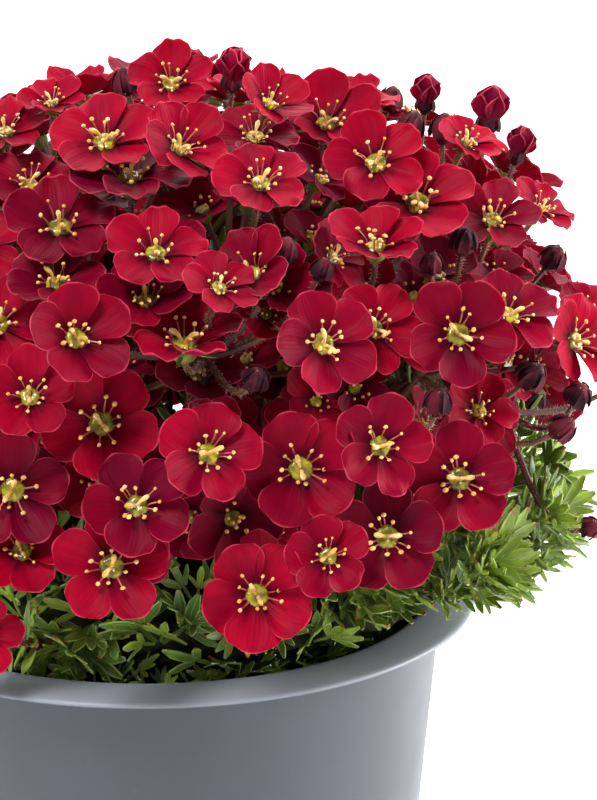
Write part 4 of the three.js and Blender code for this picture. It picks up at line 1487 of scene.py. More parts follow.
    def clears_pot(self, leaf: Stock, matrix: Array) -> bool:
        """Tells whether a leaf stays off the collar and inside the mouth below it.

        Args:
            leaf: the leaf.
            matrix: the leaf's place.

        Returns:
            Whether all its points are clear.
        """
        points = leaf.points @ matrix[:3, :3].T + matrix[:3, 3]
        beyond = np.hypot(points[:, 0], points[:, 1]) - self.mouth_radius
        lowest = self.collar_height + self.edge_rise * beyond
        return not bool(np.any((beyond > 0) & (points[:, 2] < lowest)))

    def build(self) -> list[bpy.types.Object]:
        """Builds the thatch and the leaves, and hangs them in the frame.

        Returns:
            The pieces.
        """
        draw = np.random.default_rng(self.seed)
        looks = [self.leaf(3 + 2 * (i % 2), draw) for i in range(6)]
        placed_leaves, shoots = [], []
        for centre, normal, size in self.crowns(draw):
            count = self.leaves if size > self.smallest_crown else self.leaves - 2
            placed_leaves += self.whorl(centre, normal, count, size, draw)
        for path, line in self.shoot_lines(draw):
            radii = np.linspace(0.8, 0.4, len(path)).tolist()
            shoots.append(swept(path, radii, 6, CushionPart.SHOOT))
            placed_leaves += self.whorl(path[-1], line, self.leaves, 0.95, draw)
            placed_leaves += self.whorl(path[-3], line, 4, 0.9, draw)
        kept = [(m, look, tint) for m, look, tint in placed_leaves
                if self.clears_pot(looks[look], m)]
        materials = cushion_materials()
        base = Stock.joined([self.thatch_and_shade(), *shoots]).piece("cushion_thatch_and_shade", materials)
        pieces = [base]
        for half, name in enumerate(("cushion_leaves_a", "cushion_leaves_b")):
            parts = []
            for look, leaf in enumerate(looks):
                rows = [(m, t) for i, (m, k, t) in enumerate(kept) if k == look and i % 2 == half]
                places, tints = zip(*rows)
                parts.append(leaf.copied(np.array(places), np.array(tints)))
            pieces.append(Stock.joined(parts).piece(name, materials, sharp=60))
        for piece in pieces:
            hang_in_frame(piece, Slot.FOLIAGE, "cushion")
        return pieces


# Pot and compost


@dataclass
class Pot:
    """Nursery pot with a broad collar, a rolled lip, a tapered wall and six drain holes."""

    height: float = 105.0
    collar_radius: float = 60.0
    collar_drop: float = 0.9
    lip: float = 0.8
    mouth_radius: float = 50.8
    wall_top_radius: float = 53.8
    base_radius: float = 44.0
    wall: float = 1.3
    base_thickness: float = 2.0
    drain_radius: float = 4.5
    drain_circle: float = 28.0
    drains: int = 6
    steps: int = 144

    def profile(self) -> list[tuple[float, float]]:
        """Returns the wall's outline, from the axis under the base to the axis inside it.

        Returns:
            (radius, height) points in mm.
        """
        collar = self.height - self.collar_drop
        lip = collar - self.lip
        slope = (self.wall_top_radius - self.base_radius) / lip
        inner_base = self.base_radius - self.wall + slope * self.base_thickness
        outer, foot, mouth = self.collar_radius, self.base_radius, self.mouth_radius
        top, height, floor = self.wall_top_radius, self.height, self.base_thickness
        inner = top - self.wall
        return [
            (0, 0), (foot - 1.6, 0), (foot - 0.5, 0.3), (foot, 1.3),
            (top - 0.2, lip - 1.5), (top + 0.1, lip - 0.4), (top + 0.9, lip),
            (outer - 0.75, lip - 0.05), (outer - 0.3, lip), (outer - 0.02, lip + 0.2),
            (outer, lip + 0.4), (outer - 0.10, collar - 0.1), (outer - 0.45, collar + 0.12),
            (outer - 1.0, collar + 0.3), (mouth + 1.6, height - 0.06), (mouth + 0.9, height - 0.01),
            (mouth + 0.35, height - 0.2), (mouth + 0.05, height - 0.65), (mouth, height - 1.2),
            (inner - 0.6, lip - 1.0), (inner, lip - 3.0), (inner_base, floor + 0.6),
            (inner_base - 0.6, floor), (0, floor),
        ]

    def build(self) -> bpy.types.Object:
        """Builds the pot, cuts its drain holes, and hangs it in the frame.

        Returns:
            The piece.
        """
        pot = Stock.of(turned(self.profile(), self.steps)).piece(
            "pot_shell", [PlasticFinish("pot plastic").material()], sharp=40)
        bm = bmesh.new()
        for i in range(self.drains):
            a = math.tau * (i + 0.5) / self.drains
            made = bmesh.ops.create_cone(bm, cap_ends=True, segments=24, radius1=self.drain_radius,
                                         radius2=self.drain_radius, depth=4 * self.base_thickness)
            out = self.drain_circle
            spot = (out * math.cos(a), out * math.sin(a), self.base_thickness / 2)
            bmesh.ops.translate(bm, vec=spot, verts=made["verts"])
        cutter = Stock.of(bm).piece("drain_cutter", [])
        cut = pot.modifiers.new("drains", "BOOLEAN")
        cut.object = cutter
        cut.solver = "EXACT"
        graph = bpy.context.evaluated_depsgraph_get()
        mesh = bpy.data.meshes.new_from_object(pot.evaluated_get(graph))
        pot.modifiers.clear()
        pot.data = mesh
        bpy.data.objects.remove(cutter)
        hang_in_frame(pot, Slot.POT, "pot")
        return pot


@dataclass
class Compost:
    """Dark fibrous compost that fills the pot, rough on top."""

    top: float = 97.0
    low: float = 2.35
    top_radius: float = 51.2
    low_radius: float = 42.3
    crumbs: int = 420
    seed: int = 77

    def build(self) -> bpy.types.Object:
        """Builds the plug and its crumbs, and hangs them in the frame.

        Returns:
            The piece.
        """
        draw = np.random.default_rng(self.seed)
        profile = [(0, self.low), (self.low_radius, self.low), (self.top_radius, self.top - 1.5)]
        profile += [(r, self.top - 0.4) for r in (48, 42, 36, 28, 20, 12, 5, 0)]
        plug = turned(profile, 60)
        for vert in plug.verts:
            if vert.co.z > self.top - 1:
                vert.co.z += 0.5 * math.sin(vert.co.x * 1.7) * math.sin(vert.co.y * 1.9) - 0.3
        bm = bmesh.new()
        bmesh.ops.create_icosphere(bm, subdivisions=1, radius=1.0)
        crumb = Stock.of(bm)
        places = []
        for _ in range(self.crumbs):
            a, r = draw.uniform(0, math.tau), 50.0 * math.sqrt(draw.uniform(0.5, 1))
            size = draw.uniform(0.35, 1.0, 3)
            turn = np.array(Matrix.Rotation(draw.uniform(0, 6), 4, "Z"))
            turn[:3, :3] *= size
            turn[:3, 3] = (r * math.cos(a), r * math.sin(a), self.top - 0.7 + 0.3 * size[2])
            places.append(turn)
        plug_stock = Stock.of(plug)
        finish = PlainGrowth("compost", light=(0.055, 0.032, 0.018), dark=(0.009, 0.006, 0.004),
                             patch_scale=500, roughness=0.95, relief_scale=1200, relief_mm=0.6,
                             specular=0.15)
        stock = Stock.joined([plug_stock, crumb.copied(np.array(places))])
        piece = stock.piece("compost_plug", [finish.material()])
        hang_in_frame(piece, Slot.COMPOST, "compost")
        return piece


# The flowering part


def green_materials() -> list[bpy.types.Material]:
    """Makes the materials of the sprays' green pieces, in the order of GreenPart.

    Returns:
        The materials.
    """
    finishes = {
        GreenPart.STEM: PlainGrowth(
            "stem", light=(0.17, 0.075, 0.035), dark=(0.085, 0.014, 0.014), patch_scale=90,
            roughness=0.5, relief_mm=0.1),
        GreenPart.SEPAL: PlainGrowth(
            "sepal", light=(0.16, 0.22, 0.035), dark=(0.11, 0.03, 0.012), patch_scale=260,
            roughness=0.45),
        GreenPart.HEART: PlainGrowth(
            "heart", light=(0.40, 0.33, 0.02), dark=(0.11, 0.085, 0.006), patch_scale=520,
            roughness=0.25, relief_scale=1600, relief_mm=0.25, coat=0.4),
        GreenPart.STYLE: PlainGrowth(
            "style", light=(0.88, 0.60, 0.26), dark=(0.55, 0.34, 0.06), patch_scale=600,
            roughness=0.4, soft=0.2),
        GreenPart.FILAMENT: PlainGrowth(
            "filament", light=(0.45, 0.14, 0.08), dark=(0.30, 0.03, 0.04), patch_scale=500,
            roughness=0.4),
        GreenPart.ANTHER: PlainGrowth(
            "anther", light=(0.90, 0.55, 0.22), dark=(0.68, 0.28, 0.06), patch_scale=700,
            roughness=0.6, relief_scale=4000, relief_mm=0.05),
        GreenPart.BUD: PlainGrowth(
            "bud", light=(0.11, 0.010, 0.020), dark=(0.016, 0.002, 0.006), patch_scale=300,
            roughness=0.6, specular=0.12),
        GreenPart.HAIR: PlainGrowth(
            "hair", light=(0.75, 0.62, 0.52), dark=(0.55, 0.34, 0.28), patch_scale=300,
            roughness=0.5, relief_mm=0.01),
        GreenPart.BRACT: LeafFinish("bract", young=(0.30, 0.40, 0.06), old=(0.07, 0.13, 0.02)),
    }
    return [finishes[part].material() for part in GreenPart]


def petal_materials() -> list[bpy.types.Material]:
    """Makes the petals' two sides.

    Returns:
        The upper and the lower side.
    """
    face = PetalFinish("petal face")
    # The back has its own painted shade towards the heart, and a weaker margin that is partly
    # painted sheen.
    back = PetalFinish("petal back", bright=(0.27, 0.001, 0.022), deep=(0.11, 0.001, 0.016),
                       vein_and_shade=(0.06, 0.006, 0.008), roughness=0.6, sheen=0.05,
                       margin_strength=0.45)
    return [face.material(), back.material()]


def cushion_materials() -> list[bpy.types.Material]:
    """Makes the cushion's materials, in the order of CushionPart.

    Returns:
        The materials.
    """
    # Painted shade: the thatch is near black, dead leaves darkened to stand for the shade deep in
    # the cushion.
    thatch_and_shade = PlainGrowth("thatch_and_shade", light=(0.030, 0.036, 0.010), dark=(0.006, 0.007, 0.003),
                         patch_scale=260, roughness=0.9, relief_scale=700, relief_mm=0.8,
                         specular=0.15)
    shoot = PlainGrowth("shoot", light=(0.10, 0.12, 0.03), dark=(0.06, 0.03, 0.012),
                        patch_scale=200)
    return [thatch_and_shade.material(), LeafFinish("leaf").material(), shoot.material()]


@dataclass
class UnderLayer:
    """Blooms in the shade under the outer ones, each on the nearest spray.

    None grow low on the right, where leaves spill out under the sprays.
    """

    centre: tuple[float, float, float] = (10.0, 0.0, 133.7)
    radii: tuple[float, float, float] = (76.0, 70.0, 72.0)
    depth: tuple[float, float] = (7.0, 48.0)
    lowest: float = -0.06
    tries: int = 1900
    most: int = 300
    bare_side: float = 45.0
    bare_height: float = 126.0
    bare_slope: float = 1.1
    radius: tuple[float, float] = (6.2, 9.4)
    shares: tuple[float, ...] = (0.0, 0.45, 0.75, 1.0)
    clear: float = 0.8
    scatter: float = 0.3
    lift: float = 0.2
    seed: int = 19

    def cup(self, share: Array) -> Array:
        """Returns the height of a bloom's petals at shares of its radius."""
        return 0.06 + 0.3 * share * share

    def runs_into(self, one: Head, other: Head) -> bool:
        """Tells whether points of one bloom lie in the other's petals.

        Args:
            one: the bloom whose points are tried.
            other: the bloom that they may lie in.

        Returns:
            Whether any point does.
        """
        turns = np.linspace(0, math.tau, 12, endpoint=False)
        share = np.repeat(self.shares, len(turns))
        angle = np.tile(turns, len(self.shares))
        ring = np.stack([share * np.cos(angle), share * np.sin(angle), self.cup(share)], axis=1)
        own = standing(one.place, one.facing, 0.0, one.radius)
        back = np.linalg.inv(standing(other.place, other.facing, 0.0, other.radius))
        points = ring @ own[:3, :3].T + own[:3, 3]
        points = points @ back[:3, :3].T + back[:3, 3]
        away = np.hypot(points[:, 0], points[:, 1])
        gap = np.abs(points[:, 2] - self.cup(away)) * other.radius
        return bool(np.any((away < 1.0) & (gap < self.clear)))

    def fits(self, head: Head, others: list[Head]) -> bool:
        """Tells whether a bloom is clear of all others.

        Args:
            head: the bloom.
            others: the blooms that stand already.

        Returns:
            Whether it is clear.
        """
        for other in others:
            if np.linalg.norm(other.place - head.place) > head.radius + other.radius:
                continue
            if self.runs_into(head, other) or self.runs_into(other, head):
                return False
        return True

    def grow(self, sprays: list[Spray]) -> int:
        """Adds blooms wherever they are clear of the rest.

        Args:
            sprays: the plant's sprays, which get the blooms.

        Returns:
            How many blooms were added.
        """
        draw = np.random.default_rng(self.seed)
        centre, radii = np.array(self.centre), np.array(self.radii)
        heads = [head for spray in sprays for head in spray.blooms]
        added = 0
        for i in draw.permutation(self.tries):
            if added == self.most:
                break
            height = 1 - (1 - self.lowest) * (i + 0.5) / self.tries
            wide, a = math.sqrt(1 - height * height), i * GOLDEN_ANGLE
            out = np.array([wide * math.cos(a), wide * math.sin(a), height])
            depth = np.interp(draw.random() ** 2, (0, 1), self.depth)
            place = centre + out * (radii - depth)
            beyond = place[0] - self.bare_side
            if beyond > 0 and place[2] < self.bare_height + self.bare_slope * beyond:
                continue
            facing = unit(unit(out / radii) + self.scatter * draw.normal(size=3) + self.lift * UP)
            head = Head(place, facing, draw.uniform(0, math.tau), draw.uniform(*self.radius), place)
            if not self.fits(head, heads):
                continue
            spray = min(sprays, key=lambda s: float(np.linalg.norm(s.branch - place)))
            head.bend = head.foot() - 0.5 * np.linalg.norm(spray.branch - place) * facing
            spray.under.append(head)
            heads.append(head)
            added += 1
        return added


@dataclass
class Lens:
    """The photograph's lens, which turns its pixels into places and back."""

    width: float = 597.0
    height: float = 800.0
    pixels_per_mm: float = 5.33
    distance: float = 780.0
    elevation: float = 19.4
    pitch: float = 16.79
    yaw: float = 2.1
    rim_height: float = 104.1

    def __post_init__(self) -> None:
        """Works out its place, its directions and its focal length."""
        e, pitch, yaw = (math.radians(a) for a in (self.elevation, self.pitch, self.yaw))
        back = np.array([0.0, -math.cos(e), math.sin(e)])
        self.place = self.rim_height * UP + self.distance * back
        level = np.array([math.sin(yaw), math.cos(yaw), 0.0])
        self.ahead = math.cos(pitch) * level - math.sin(pitch) * UP
        self.right = np.array([math.cos(yaw), -math.sin(yaw), 0.0])
        self.up = np.cross(self.right, self.ahead)
        self.focal = self.pixels_per_mm * self.distance

    def ray(self, x: float, y: float) -> Array:
        """Returns the direction of the line of sight through a pixel."""
        across_mm, up_mm = x - self.width / 2, self.height / 2 - y
        return unit(self.focal * self.ahead + across_mm * self.right + up_mm * self.up)

    def pixel(self, point: Array) -> tuple[float, float]:
        """Finds where a place shows in the photograph.

        Args:
            point: the place, in mm.

        Returns:
            Its x and y in pixels.
        """
        line = point - self.place
        scale = self.focal / (line @ self.ahead)
        x = self.width / 2 + scale * (line @ self.right)
        return float(x), float(self.height / 2 - scale * (line @ self.up))

    def facing(self, right: float, up: float) -> Array:
        """Returns the way a bloom faces, by how far it turns right and up."""
        towards = math.sqrt(max(0.04, 1 - right * right - up * up))
        return unit(right * self.right + up * self.up - towards * self.ahead)


@dataclass
class Rods:
    """The stems and pedicels laid so far, and the blooms that they keep clear of.

    A row is a point of a rod: its place, the rod's radius and number, and its spray's number.
    """

    blooms: list[Head]
    clear: float = 0.45
    rows: Array = field(default_factory=lambda: np.empty((0, 6)))

    STEP = 1.3
    CALYX_SHARE = 0.35
    HEART_SHARE = 0.25
    PETAL_DEPTH = 0.9
    PETAL_SHARE = 1.08
    NEAR = 3.0

    @staticmethod
    def path(start: Array, bend: Array, end: Array) -> Array:
        """Returns the points of a rod at which it is tested."""
        steps = max(4, math.ceil(np.linalg.norm(end - start) / Rods.STEP))
        return bezier(start, bend, end, steps + 1)

    def lay(self, path: Array, radius: float, spray: int) -> None:
        """Adds a rod of a spray.

        Args:
            path: (n, 3) points in mm.
            radius: its radius in mm.
            spray: the number of its spray.
        """
        number = self.rows[-1, 4] + 1 if len(self.rows) else 0
        marks = np.tile((radius, number, spray), (len(path), 1))
        self.rows = np.concatenate([self.rows, np.hstack([path, marks])])

    def in_blooms(self, path: Array, radius: float, own: Head | None) -> int:
        """Counts the points of a rod that run into a bloom.

        Args:
            path: (n, 3) points in mm.
            radius: the rod's radius in mm.
            own: the bloom that it carries, which doesn't count.

        Returns:
            The count.
        """
        others = [b for b in self.blooms if b is not own]
        size = np.array([b.radius for b in others])
        line = path[:, None] - np.array([b.place for b in others])
        square = (line ** 2).sum(axis=2)
        z = (line * np.array([b.facing for b in others])).sum(axis=2)
        away = np.sqrt(np.maximum(0, square - z * z)) / size
        petals = cup_height(away) * size
        calyx, heart = -Head.CALYX_DEPTH * size, Head.HEART_HEIGHT * size
        low = np.where(away < self.CALYX_SHARE, calyx, petals - self.PETAL_DEPTH)
        high = np.where(away < self.HEART_SHARE, heart, petals)
        reach = radius + self.clear
        near = (square <= (size + self.NEAR) ** 2) & (away <= self.PETAL_SHARE)
        return int((near & (z > low - reach) & (z < high + reach)).any(axis=1).sum())

    def clashes(self, path: Array, radius: float, own: Head | None = None,
                spray: int = -1) -> int:
        """Counts where a rod would run into blooms or into rods that are laid.

        Args:
            path: (n, 3) points in mm.
            radius: the rod's radius in mm.
            own: the bloom that it carries, which doesn't count.
            spray: the spray whose rods don't count.

        Returns:
            The count, one for each point and rod.
        """
        reach = 2 * radius + 3
        places = self.rows[:, :3]
        close = (places > path.min(axis=0) - reach) & (places < path.max(axis=0) + reach)
        near = self.rows[close.all(axis=1) & (self.rows[:, 5] != spray)]
        least = (radius + near[:, 3] + self.clear) ** 2
        square = ((path[:, None] - near[:, :3]) ** 2).sum(axis=2)
        pairs = {(i, near[k, 4]) for i, k in zip(*np.nonzero(square < least))}
        return self.in_blooms(path, radius, own) + len(pairs)


@dataclass
class Layout:
    """Where blooms, buds and stems stand, by the rule of the part's source."""

    lens: Lens = field(default_factory=Lens)
    centre: Place = (10.0, 0.0, 133.7)
    radii: Place = (76.0, 70.0, 72.0)
    lowest: float = -9.0
    spacing: float = 17.8
    tries: int = 190
    rule_seed: int = 7
    rule_radius: float = 8.4
    radius_spread: float = 2.2
    wobble: float = 0.25
    fifth_turn: float = 1.2566
    tilt_up: float = 0.15
    tilt_spread: float = 0.35
    grazing: float = 0.3
    seen_span: tuple[float, float] = (-12.0, 612.0)
    seen_foot: float = 650.0
    sink_step: float = 2.0
    sink_most: float = 24.0
    core_centre: Place = (7.0, 0.0, 108.0)
    core_radii: Place = (49.0, 43.0, 21.0)
    heart: Place = (4.0, 0.0, 90.0)
    count: int = 38
    fused: tuple[int, int] = (24, 35)
    stem_radius: float = 1.15
    pedicel_radius: float = 0.75
    stem_depth: float = 7.0
    neck: float = 4.0
    bud_middle: float = 0.37
    rule_bud_radius: float = 2.8
    rule_bud_out: float = 9.0
    rule_bud_aside: float = 7.0
    rule_bud_every: int = 4
    back_from: float = 10.0
    bud_spacing: float = 7.0
    bud_girth: float = 0.6
    sweep: float = 0.5
    stem_sweep: float = 0.6

    SHRINKS = (1, 0.94, 0.88)
    SHIFTS = (0, 2.5, -2.5, 5, -5, 7.5, -7.5, 10)
    BUD_SHIFTS = (0, 3, -3, 6, -6, 9)
    STEM_TRIES = ((0.35, 0), (0.35, 4), (0.35, -4), (0.5, 0), (0.5, 5), (0.5, -5), (0.2, 0),
                  (0.2, 6), (0.2, -6), (0.65, 8), (0.65, -8), (0.1, 0))
    BEND_TRIES = ((0, 0), (2.5, 0), (-2.5, 0), (0, 2.5), (0, -2.5), (5, 0), (-5, 0), (0, 5),
                  (0, -5))

    @staticmethod
    def draws(seed: int) -> Iterator[float]:
        """Draws numbers from 0 to 1, the same on every run.

        Args:
            seed: the number that they start from.

        Returns:
            The numbers, without end.
        """
        while True:
            seed = (seed * 1664525 + 1013904223) % 2 ** 32
            yield seed / 2 ** 32

    def on_dome(self, ray: Array) -> Array:
        """Finds where a line of sight meets the dome, or passes nearest to it.

        Args:
            ray: the line's direction.

        Returns:
            The place in mm.
        """
        start, step = (self.lens.place - self.centre) / self.radii, ray / self.radii
        a, b, c = step @ step, start @ step, start @ start - 1
        return self.lens.place + ray * (-b - math.sqrt(max(b * b - a * c, 0))) / a

    def settle(self, bloom: Head, line: Array, others: list[Head]) -> Head | None:
        """Moves a bloom along a line, or shrinks it a little, until it clears the others.

        Args:
            bloom: the bloom.
            line: the line's direction.
            others: the blooms that stand already.

        Returns:
            The bloom, or None if it never clears them.
        """
        for shrink in self.SHRINKS:
            for shift in self.SHIFTS:
                place, radius = bloom.place + shift * line, bloom.radius * shrink
                tried = replace(bloom, place=place, radius=radius)
                near = [o for o in others if np.linalg.norm(o.place - place) < o.radius + radius]
                if not any(tried.touches(o) or o.touches(tried) for o in near):
                    return tried
        return None

    def over_skyline(self, bloom: Head) -> bool:
        """Tells whether a petal of a bloom stands over the skyline.

        Args:
            bloom: the bloom.

        Returns:
            Whether any does.
        """
        ends, heights = zip(*SKYLINE)
        shown = [self.lens.pixel(p) for p in bloom.petal_points((1,))]
        return any(ends[0] <= x < ends[-1] and y < np.interp(x, ends, heights) for x, y in shown)

    def seen_blooms(self) -> list[Head]:
        """Stands the blooms that the photograph shows.

        Returns:
            The blooms.
        """
        blooms = []
        for x, y, width, right, up, turn in SEEN_BLOOMS:
            ray = self.lens.ray(x, y)
            facing = self.lens.facing(right, up)
            bloom = Head(self.on_dome(ray), facing, math.radians(turn), width / 2)
            settled = self.settle(bloom, ray, blooms)
            blooms.append(settled or replace(bloom, radius=0.8 * bloom.radius))
        return blooms

    def add_rule_blooms(self, blooms: list[Head]) -> None:
        """Adds blooms on the sides of the dome that the photograph doesn't show.

        Args:
            blooms: the blooms that stand already.
        """
        draws = self.draws(self.rule_seed)
        for i in range(self.tries):
            height = 1 - (i + 0.5) / self.tries * (1 - self.lowest / self.radii[2])
            wobble, tip, turn, size = islice(draws, 4)
            angle = i * GOLDEN_ANGLE + self.wobble * (wobble - 0.5)
            out = math.sqrt(1 - height * height)
            on_unit = np.array([out * math.cos(angle), out * math.sin(angle), height])
            place = on_unit * self.radii + self.centre
            x, y = self.lens.pixel(place)
            normal = unit((place - self.centre) / self.radii / self.radii)
            faces = normal @ unit(self.lens.place - place) > self.grazing
            if faces and self.seen_span[0] < x < self.seen_span[1] and y < self.seen_foot:
                continue
            if any(np.linalg.norm(o.place - place) < self.spacing for o in blooms):
                continue
            facing = unit(normal + (self.tilt_up + self.tilt_spread * tip) * UP)
            radius = self.rule_radius + self.radius_spread * size
            bloom = Head(place, facing, turn * self.fifth_turn, radius)
            down = 0.0
            while down <= self.sink_most and self.over_skyline(bloom):
                bloom.place = bloom.place - self.sink_step * UP
                down += self.sink_step
            settled = self.settle(bloom, normal, blooms)
            if settled and not self.over_skyline(settled):
                blooms.append(settled)

    def gather(self, blooms: list[Head]) -> list[list[Head]]:
        """Groups the blooms, each group round the one farthest from the others.

        Args:
            blooms: all blooms.

        Returns:
            A group for each spray.
        """
        places = np.array([b.place for b in blooms])
        hearts = [places[0]]
        nearest = np.linalg.norm(places - hearts[0], axis=1)
        while len(hearts) < self.count:
            hearts.append(places[int(np.argmax(nearest))])
            nearest = np.minimum(nearest, np.linalg.norm(places - hearts[-1], axis=1))
        groups = [[] for _ in hearts]
        for bloom in blooms:
            groups[int(np.argmin(np.linalg.norm(hearts - bloom.place, axis=1)))].append(bloom)
        return groups

    def pedicel(self, branch: Array, head: Head, rods: Rods,
                spray: int = -1) -> tuple[int, Array]:
        """Bends a pedicel the first way that is clear.

        Args:
            branch: where it leaves the stem.
            head: the bloom or bud that it carries.
            rods: the rods that are laid.
            spray: the spray whose rods don't count.

        Returns:
            How often it clashes, and its bend.
        """
        end = head.foot()
        middle = end - self.sweep * np.linalg.norm(end - branch) * head.facing
        side, rise = across(unit(end - branch))
        best = None
        for right, up in self.BEND_TRIES:
            bend = middle + right * side + up * rise
            path = rods.path(branch, bend, end)
            found = rods.clashes(path, self.pedicel_radius, head, spray)
            if best is None or found < best[0]:
                best = (found, bend)
            if best[0] == 0:
                break
        return best

    def route(self, number: int, group: list[Head], rods: Rods) -> Spray:
        """Leads a stem to its blooms, by the try with the fewest clashes.

        Args:
            number: the spray's own number.
            group: its blooms.
            rods: the rods that are laid, to which its own are added.

        Returns:
            The spray.
        """
        crown = sum(b.place - self.neck * b.facing for b in group) / len(group)
        step = unit(crown - self.heart)
        start = np.subtract(self.heart, self.core_centre) / self.core_radii
        scaled = step / self.core_radii
        a, b, c = scaled @ scaled, start @ scaled, start @ start - 1
        leave = self.heart + step * (-b + math.sqrt(b * b - a * c)) / a
        foot = leave - self.stem_depth * step
        side = across(step)[0]
        best = None
        for share, swing in self.STEM_TRIES:
            branch = crown + (leave - crown) * share + swing * side
            bend = foot + self.stem_sweep * np.linalg.norm(branch - foot) * step
            stem = rods.path(foot, bend, branch)
            pedicels = [self.pedicel(branch, bloom, rods) for bloom in group]
            total = rods.clashes(stem, self.stem_radius) + sum(found for found, _ in pedicels)
            if best is None or total < best[0]:
                best = (total, branch, bend, stem, pedicels)
            if best[0] == 0:
                break
        _, branch, bend, stem, pedicels = best
        rods.lay(stem, self.stem_radius, number)
        for bloom, (_, bent) in zip(group, pedicels):
            bloom.bend = bent
            rods.lay(rods.path(branch, bent, bloom.foot()), self.pedicel_radius, number)
        return Spray(number, self.node(number), foot, bend, branch, group, [])

    def node(self, number: int) -> str:
        """Names the CAD node of a spray: two sprays touch, and are one node.

        Args:
            number: the spray's own number.

        Returns:
            The node's name.
        """
        first, second = self.fused
        shared = second if number == first else number
        return f"spray_{shared - (shared > first):02d}"

    def bud_places(self, sprays: list[Spray]) -> list[tuple[Array, Array, float]]:
        """Lists the buds that the photograph shows, then those of the far side.

        Args:
            sprays: all sprays.

        Returns:
            Each bud's place, the line that it may move along, and its radius.
        """
        buds = []
        for x, y, length in SEEN_BUDS:
            ray = self.lens.ray(x, y)
            buds.append((self.on_dome(ray) - self.bud_middle * length * UP, ray, length / 2))
        for spray in sprays[::self.rule_bud_every]:
            line = unit(spray.foot - self.heart)
            place = spray.branch + self.rule_bud_out * line
            place = place + self.rule_bud_aside * across(line)[0]
            if place[1] > self.back_from:
                buds.append((place, line, self.rule_bud_radius))
        return buds

    def add_buds(self, sprays: list[Spray], rods: Rods) -> None:
        """Adds each bud to the spray whose branch is nearest, where it is clear.

        Args:
            sprays: all sprays.
            rods: the rods that are laid.
        """
        branches = np.array([s.branch for s in sprays])
        for home, ray, radius in self.bud_places(sprays):
            for shift in self.BUD_SHIFTS:
                place = home + shift * ray
                spray = sprays[int(np.argmin(np.linalg.norm(branches - place, axis=1)))]
                facing = unit(unit(place - spray.branch) + UP)
                tip = rods.path(place, place, place + radius * facing)
                if rods.clashes(tip, self.bud_girth * radius):
                    continue
                stood = [bud.place for s in sprays for bud in s.buds]
                if any(np.linalg.norm(other - place) < self.bud_spacing for other in stood):
                    continue
                head = Head(place, facing, 0.0, radius)
                found, head.bend = self.pedicel(spray.branch, head, rods, spray.number)
                if found:
                    continue
                spray.buds.append(head)
                path = rods.path(spray.branch, head.bend, head.foot())
                rods.lay(path, self.pedicel_radius, spray.number)
                rods.lay(tip, self.bud_girth * radius, spray.number)
                break

    def sprays(self) -> list[Spray]:
        """Builds the whole layout.

        Returns:
            The sprays, in tenths of a millimetre and whole degrees.
        """
        blooms = self.seen_blooms()
        self.add_rule_blooms(blooms)
        rods = Rods(blooms)
        made = [self.route(k, group, rods) for k, group in enumerate(self.gather(blooms), 1)]
        self.add_buds(made, rods)
        for spray in made:
            spray.foot, spray.bend = tenths(spray.foot), tenths(spray.bend)
            spray.branch = tenths(spray.branch)
            spray.blooms = [head.rounded() for head in spray.blooms]
            spray.buds = [head.rounded() for head in spray.buds]
        return made


@dataclass
class Flowers:
    """All sprays of the plant."""

    layout: Layout = field(default_factory=Layout)
    kit: BloomKit = field(default_factory=BloomKit)
    buds: BudKit = field(default_factory=BudKit)
    fur: Fur = field(default_factory=Fur)
    under: UnderLayer = field(default_factory=UnderLayer)
    seed: int = 11

    def build(self) -> None:
        """Builds two pieces for each spray, its petals and its green parts."""
        self.kit.make()
        self.buds.make()
        draw = np.random.default_rng(self.seed)
        sprays = self.layout.sprays()
        LOG.info("%d blooms under the outer ones", self.under.grow(sprays))
        petals, greens = petal_materials(), green_materials()
        for spray in sprays:
            for head in spray.blooms:
                head.look = int(draw.integers(self.kit.open_looks))
            for head in spray.under:
                head.look = self.kit.open_looks + int(draw.integers(self.kit.shade_looks))
            corollas = spray.corollas(self.kit, self.buds, draw)
            piece = corollas.piece(f"{spray.name}_petals", petals, sharp=55)
            hang_in_frame(piece, Slot.PETALS, spray.node)
            stalks = spray.greens(self.kit, self.buds, self.fur, draw)
            hang_in_frame(stalks.piece(f"{spray.name}_stalks", greens), Slot.FOLIAGE, spray.node)


# Studio


@dataclass(frozen=True)
class PhotoView:
    """The camera of the photograph, in mm and degrees about the rim's centre."""

    rim_height: float = 104.1
    distance: float = 780.0
    elevation: float = 19.4
    pitch: float = 16.79
    yaw: float = 2.1
    pixels_per_mm: float = 5.33
    long_side: float = 800.0
    sensor: float = 36.0

    def build(self) -> bpy.types.Object:
        """Makes the camera the scene's own.

        Returns:
            The camera.
        """
        data = bpy.data.cameras.new("photo_camera")
        data.sensor_width = self.sensor
        data.lens = self.pixels_per_mm * self.distance * self.sensor / self.long_side
        data.clip_start, data.clip_end = 0.01, 50.0
        camera = bpy.data.objects.new("photo_camera", data)
        e = math.radians(self.elevation)
        back = np.array([0.0, -math.cos(e), math.sin(e)])
        camera.location = ((UP * self.rim_height + back * self.distance) * MM).tolist()
        camera.rotation_euler = (math.radians(90 - self.pitch), 0.0, math.radians(-self.yaw))
        bpy.context.scene.collection.objects.link(camera)
        bpy.context.scene.camera = camera
        return camera


@dataclass(frozen=True)
class SoftBox:
    """A square area light, aimed at the plant."""

    name: str
    place: tuple[float, float, float]
    size: float
    power: float
    colour: Colour = (1.0, 1.0, 1.0)

    def build(self) -> None:
        """Puts the light in the scene."""
        data = bpy.data.lights.new(self.name, "AREA")
        data.size, data.energy, data.color = self.size, self.power, self.colour
        light = bpy.data.objects.new(self.name, data)
        light.location = self.place
        aim = Vector((0.0, 0.0, 0.13)) - Vector(self.place)
        light.rotation_euler = aim.to_track_quat("-Z", "Y").to_euler()
        bpy.context.scene.collection.objects.link(light)


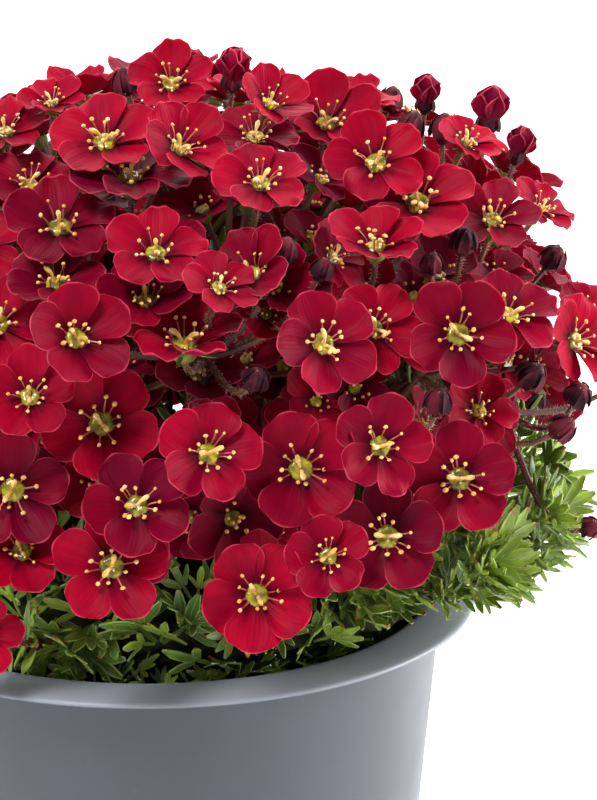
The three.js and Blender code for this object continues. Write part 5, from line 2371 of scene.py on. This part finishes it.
@dataclass
class Studio:
    """Pale floor, white surroundings and soft lights."""

    floor_radius: float = 2.2
    overhead: float = 0.22
    front: float = 0.42
    behind: float = 1.0
    lights: tuple[SoftBox, ...] = (
        SoftBox("key", (-0.35, -0.65, 1.20), 0.40, 19.0),
        SoftBox("side", (1.15, 0.10, 0.50), 0.8, 30.0),
        SoftBox("left", (-1.15, 0.00, 0.50), 0.8, 7.0),
        SoftBox("backdrop", (0.1, 1.4, 1.6), 2.0, 80.0),
    )

    def build(self) -> None:
        """Builds the floor, the world and the lights."""
        bm = bmesh.new()
        bmesh.ops.create_circle(bm, cap_ends=True, radius=self.floor_radius / MM, segments=64)
        floor = Stock.of(bm).piece("studio_floor", [StageFinish("floor").material()])
        bpy.context.scene.world = self.cove()
        bpy.context.scene.view_settings.view_transform = "Standard"
        for light in self.lights:
            light.build()

    def cove(self) -> bpy.types.World:
        """Makes the white cove: brightest at the horizon behind the plant, dimmer overhead.

        Returns:
            The world.
        """
        world = bpy.data.worlds.new("studio")
        world.use_nodes = True
        tree = world.node_tree
        background = tree.nodes["Background"]
        background.inputs["Color"].default_value = (1.0, 1.0, 1.0, 1.0)
        places = tree.nodes.new("ShaderNodeTexCoord")
        split = tree.nodes.new("ShaderNodeSeparateXYZ")
        tree.links.new(places.outputs["Generated"], split.inputs[0])
        ramps = []
        for _ in range(2):
            ramps.append(tree.nodes.new("ShaderNodeMapRange"))
            ramps[-1].interpolation_type = "SMOOTHSTEP"
        depth, height = ramps
        for ramp, values in ((depth, (-0.4, 0.4, self.front, self.behind)), (height, (0.15, 0.6))):
            for k, value in enumerate(values, 1):
                ramp.inputs[k].default_value = value
        height.inputs[4].default_value = self.overhead
        tree.links.new(split.outputs[1], depth.inputs[0])
        tree.links.new(split.outputs[2], height.inputs[0])
        tree.links.new(depth.outputs[0], height.inputs[3])
        tree.links.new(height.outputs[0], background.inputs["Strength"])
        return world


def main() -> None:
    """Builds the pieces, the studio and the camera in order."""
    logging.basicConfig(level=logging.INFO, format="%(message)s", stream=sys.stdout)
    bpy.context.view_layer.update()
    PhotoView().build()
    Pot().build()
    Compost().build()
    Cushion().build()
    Flowers().build()
    Studio().build()


if __name__ == "__main__":
    main()
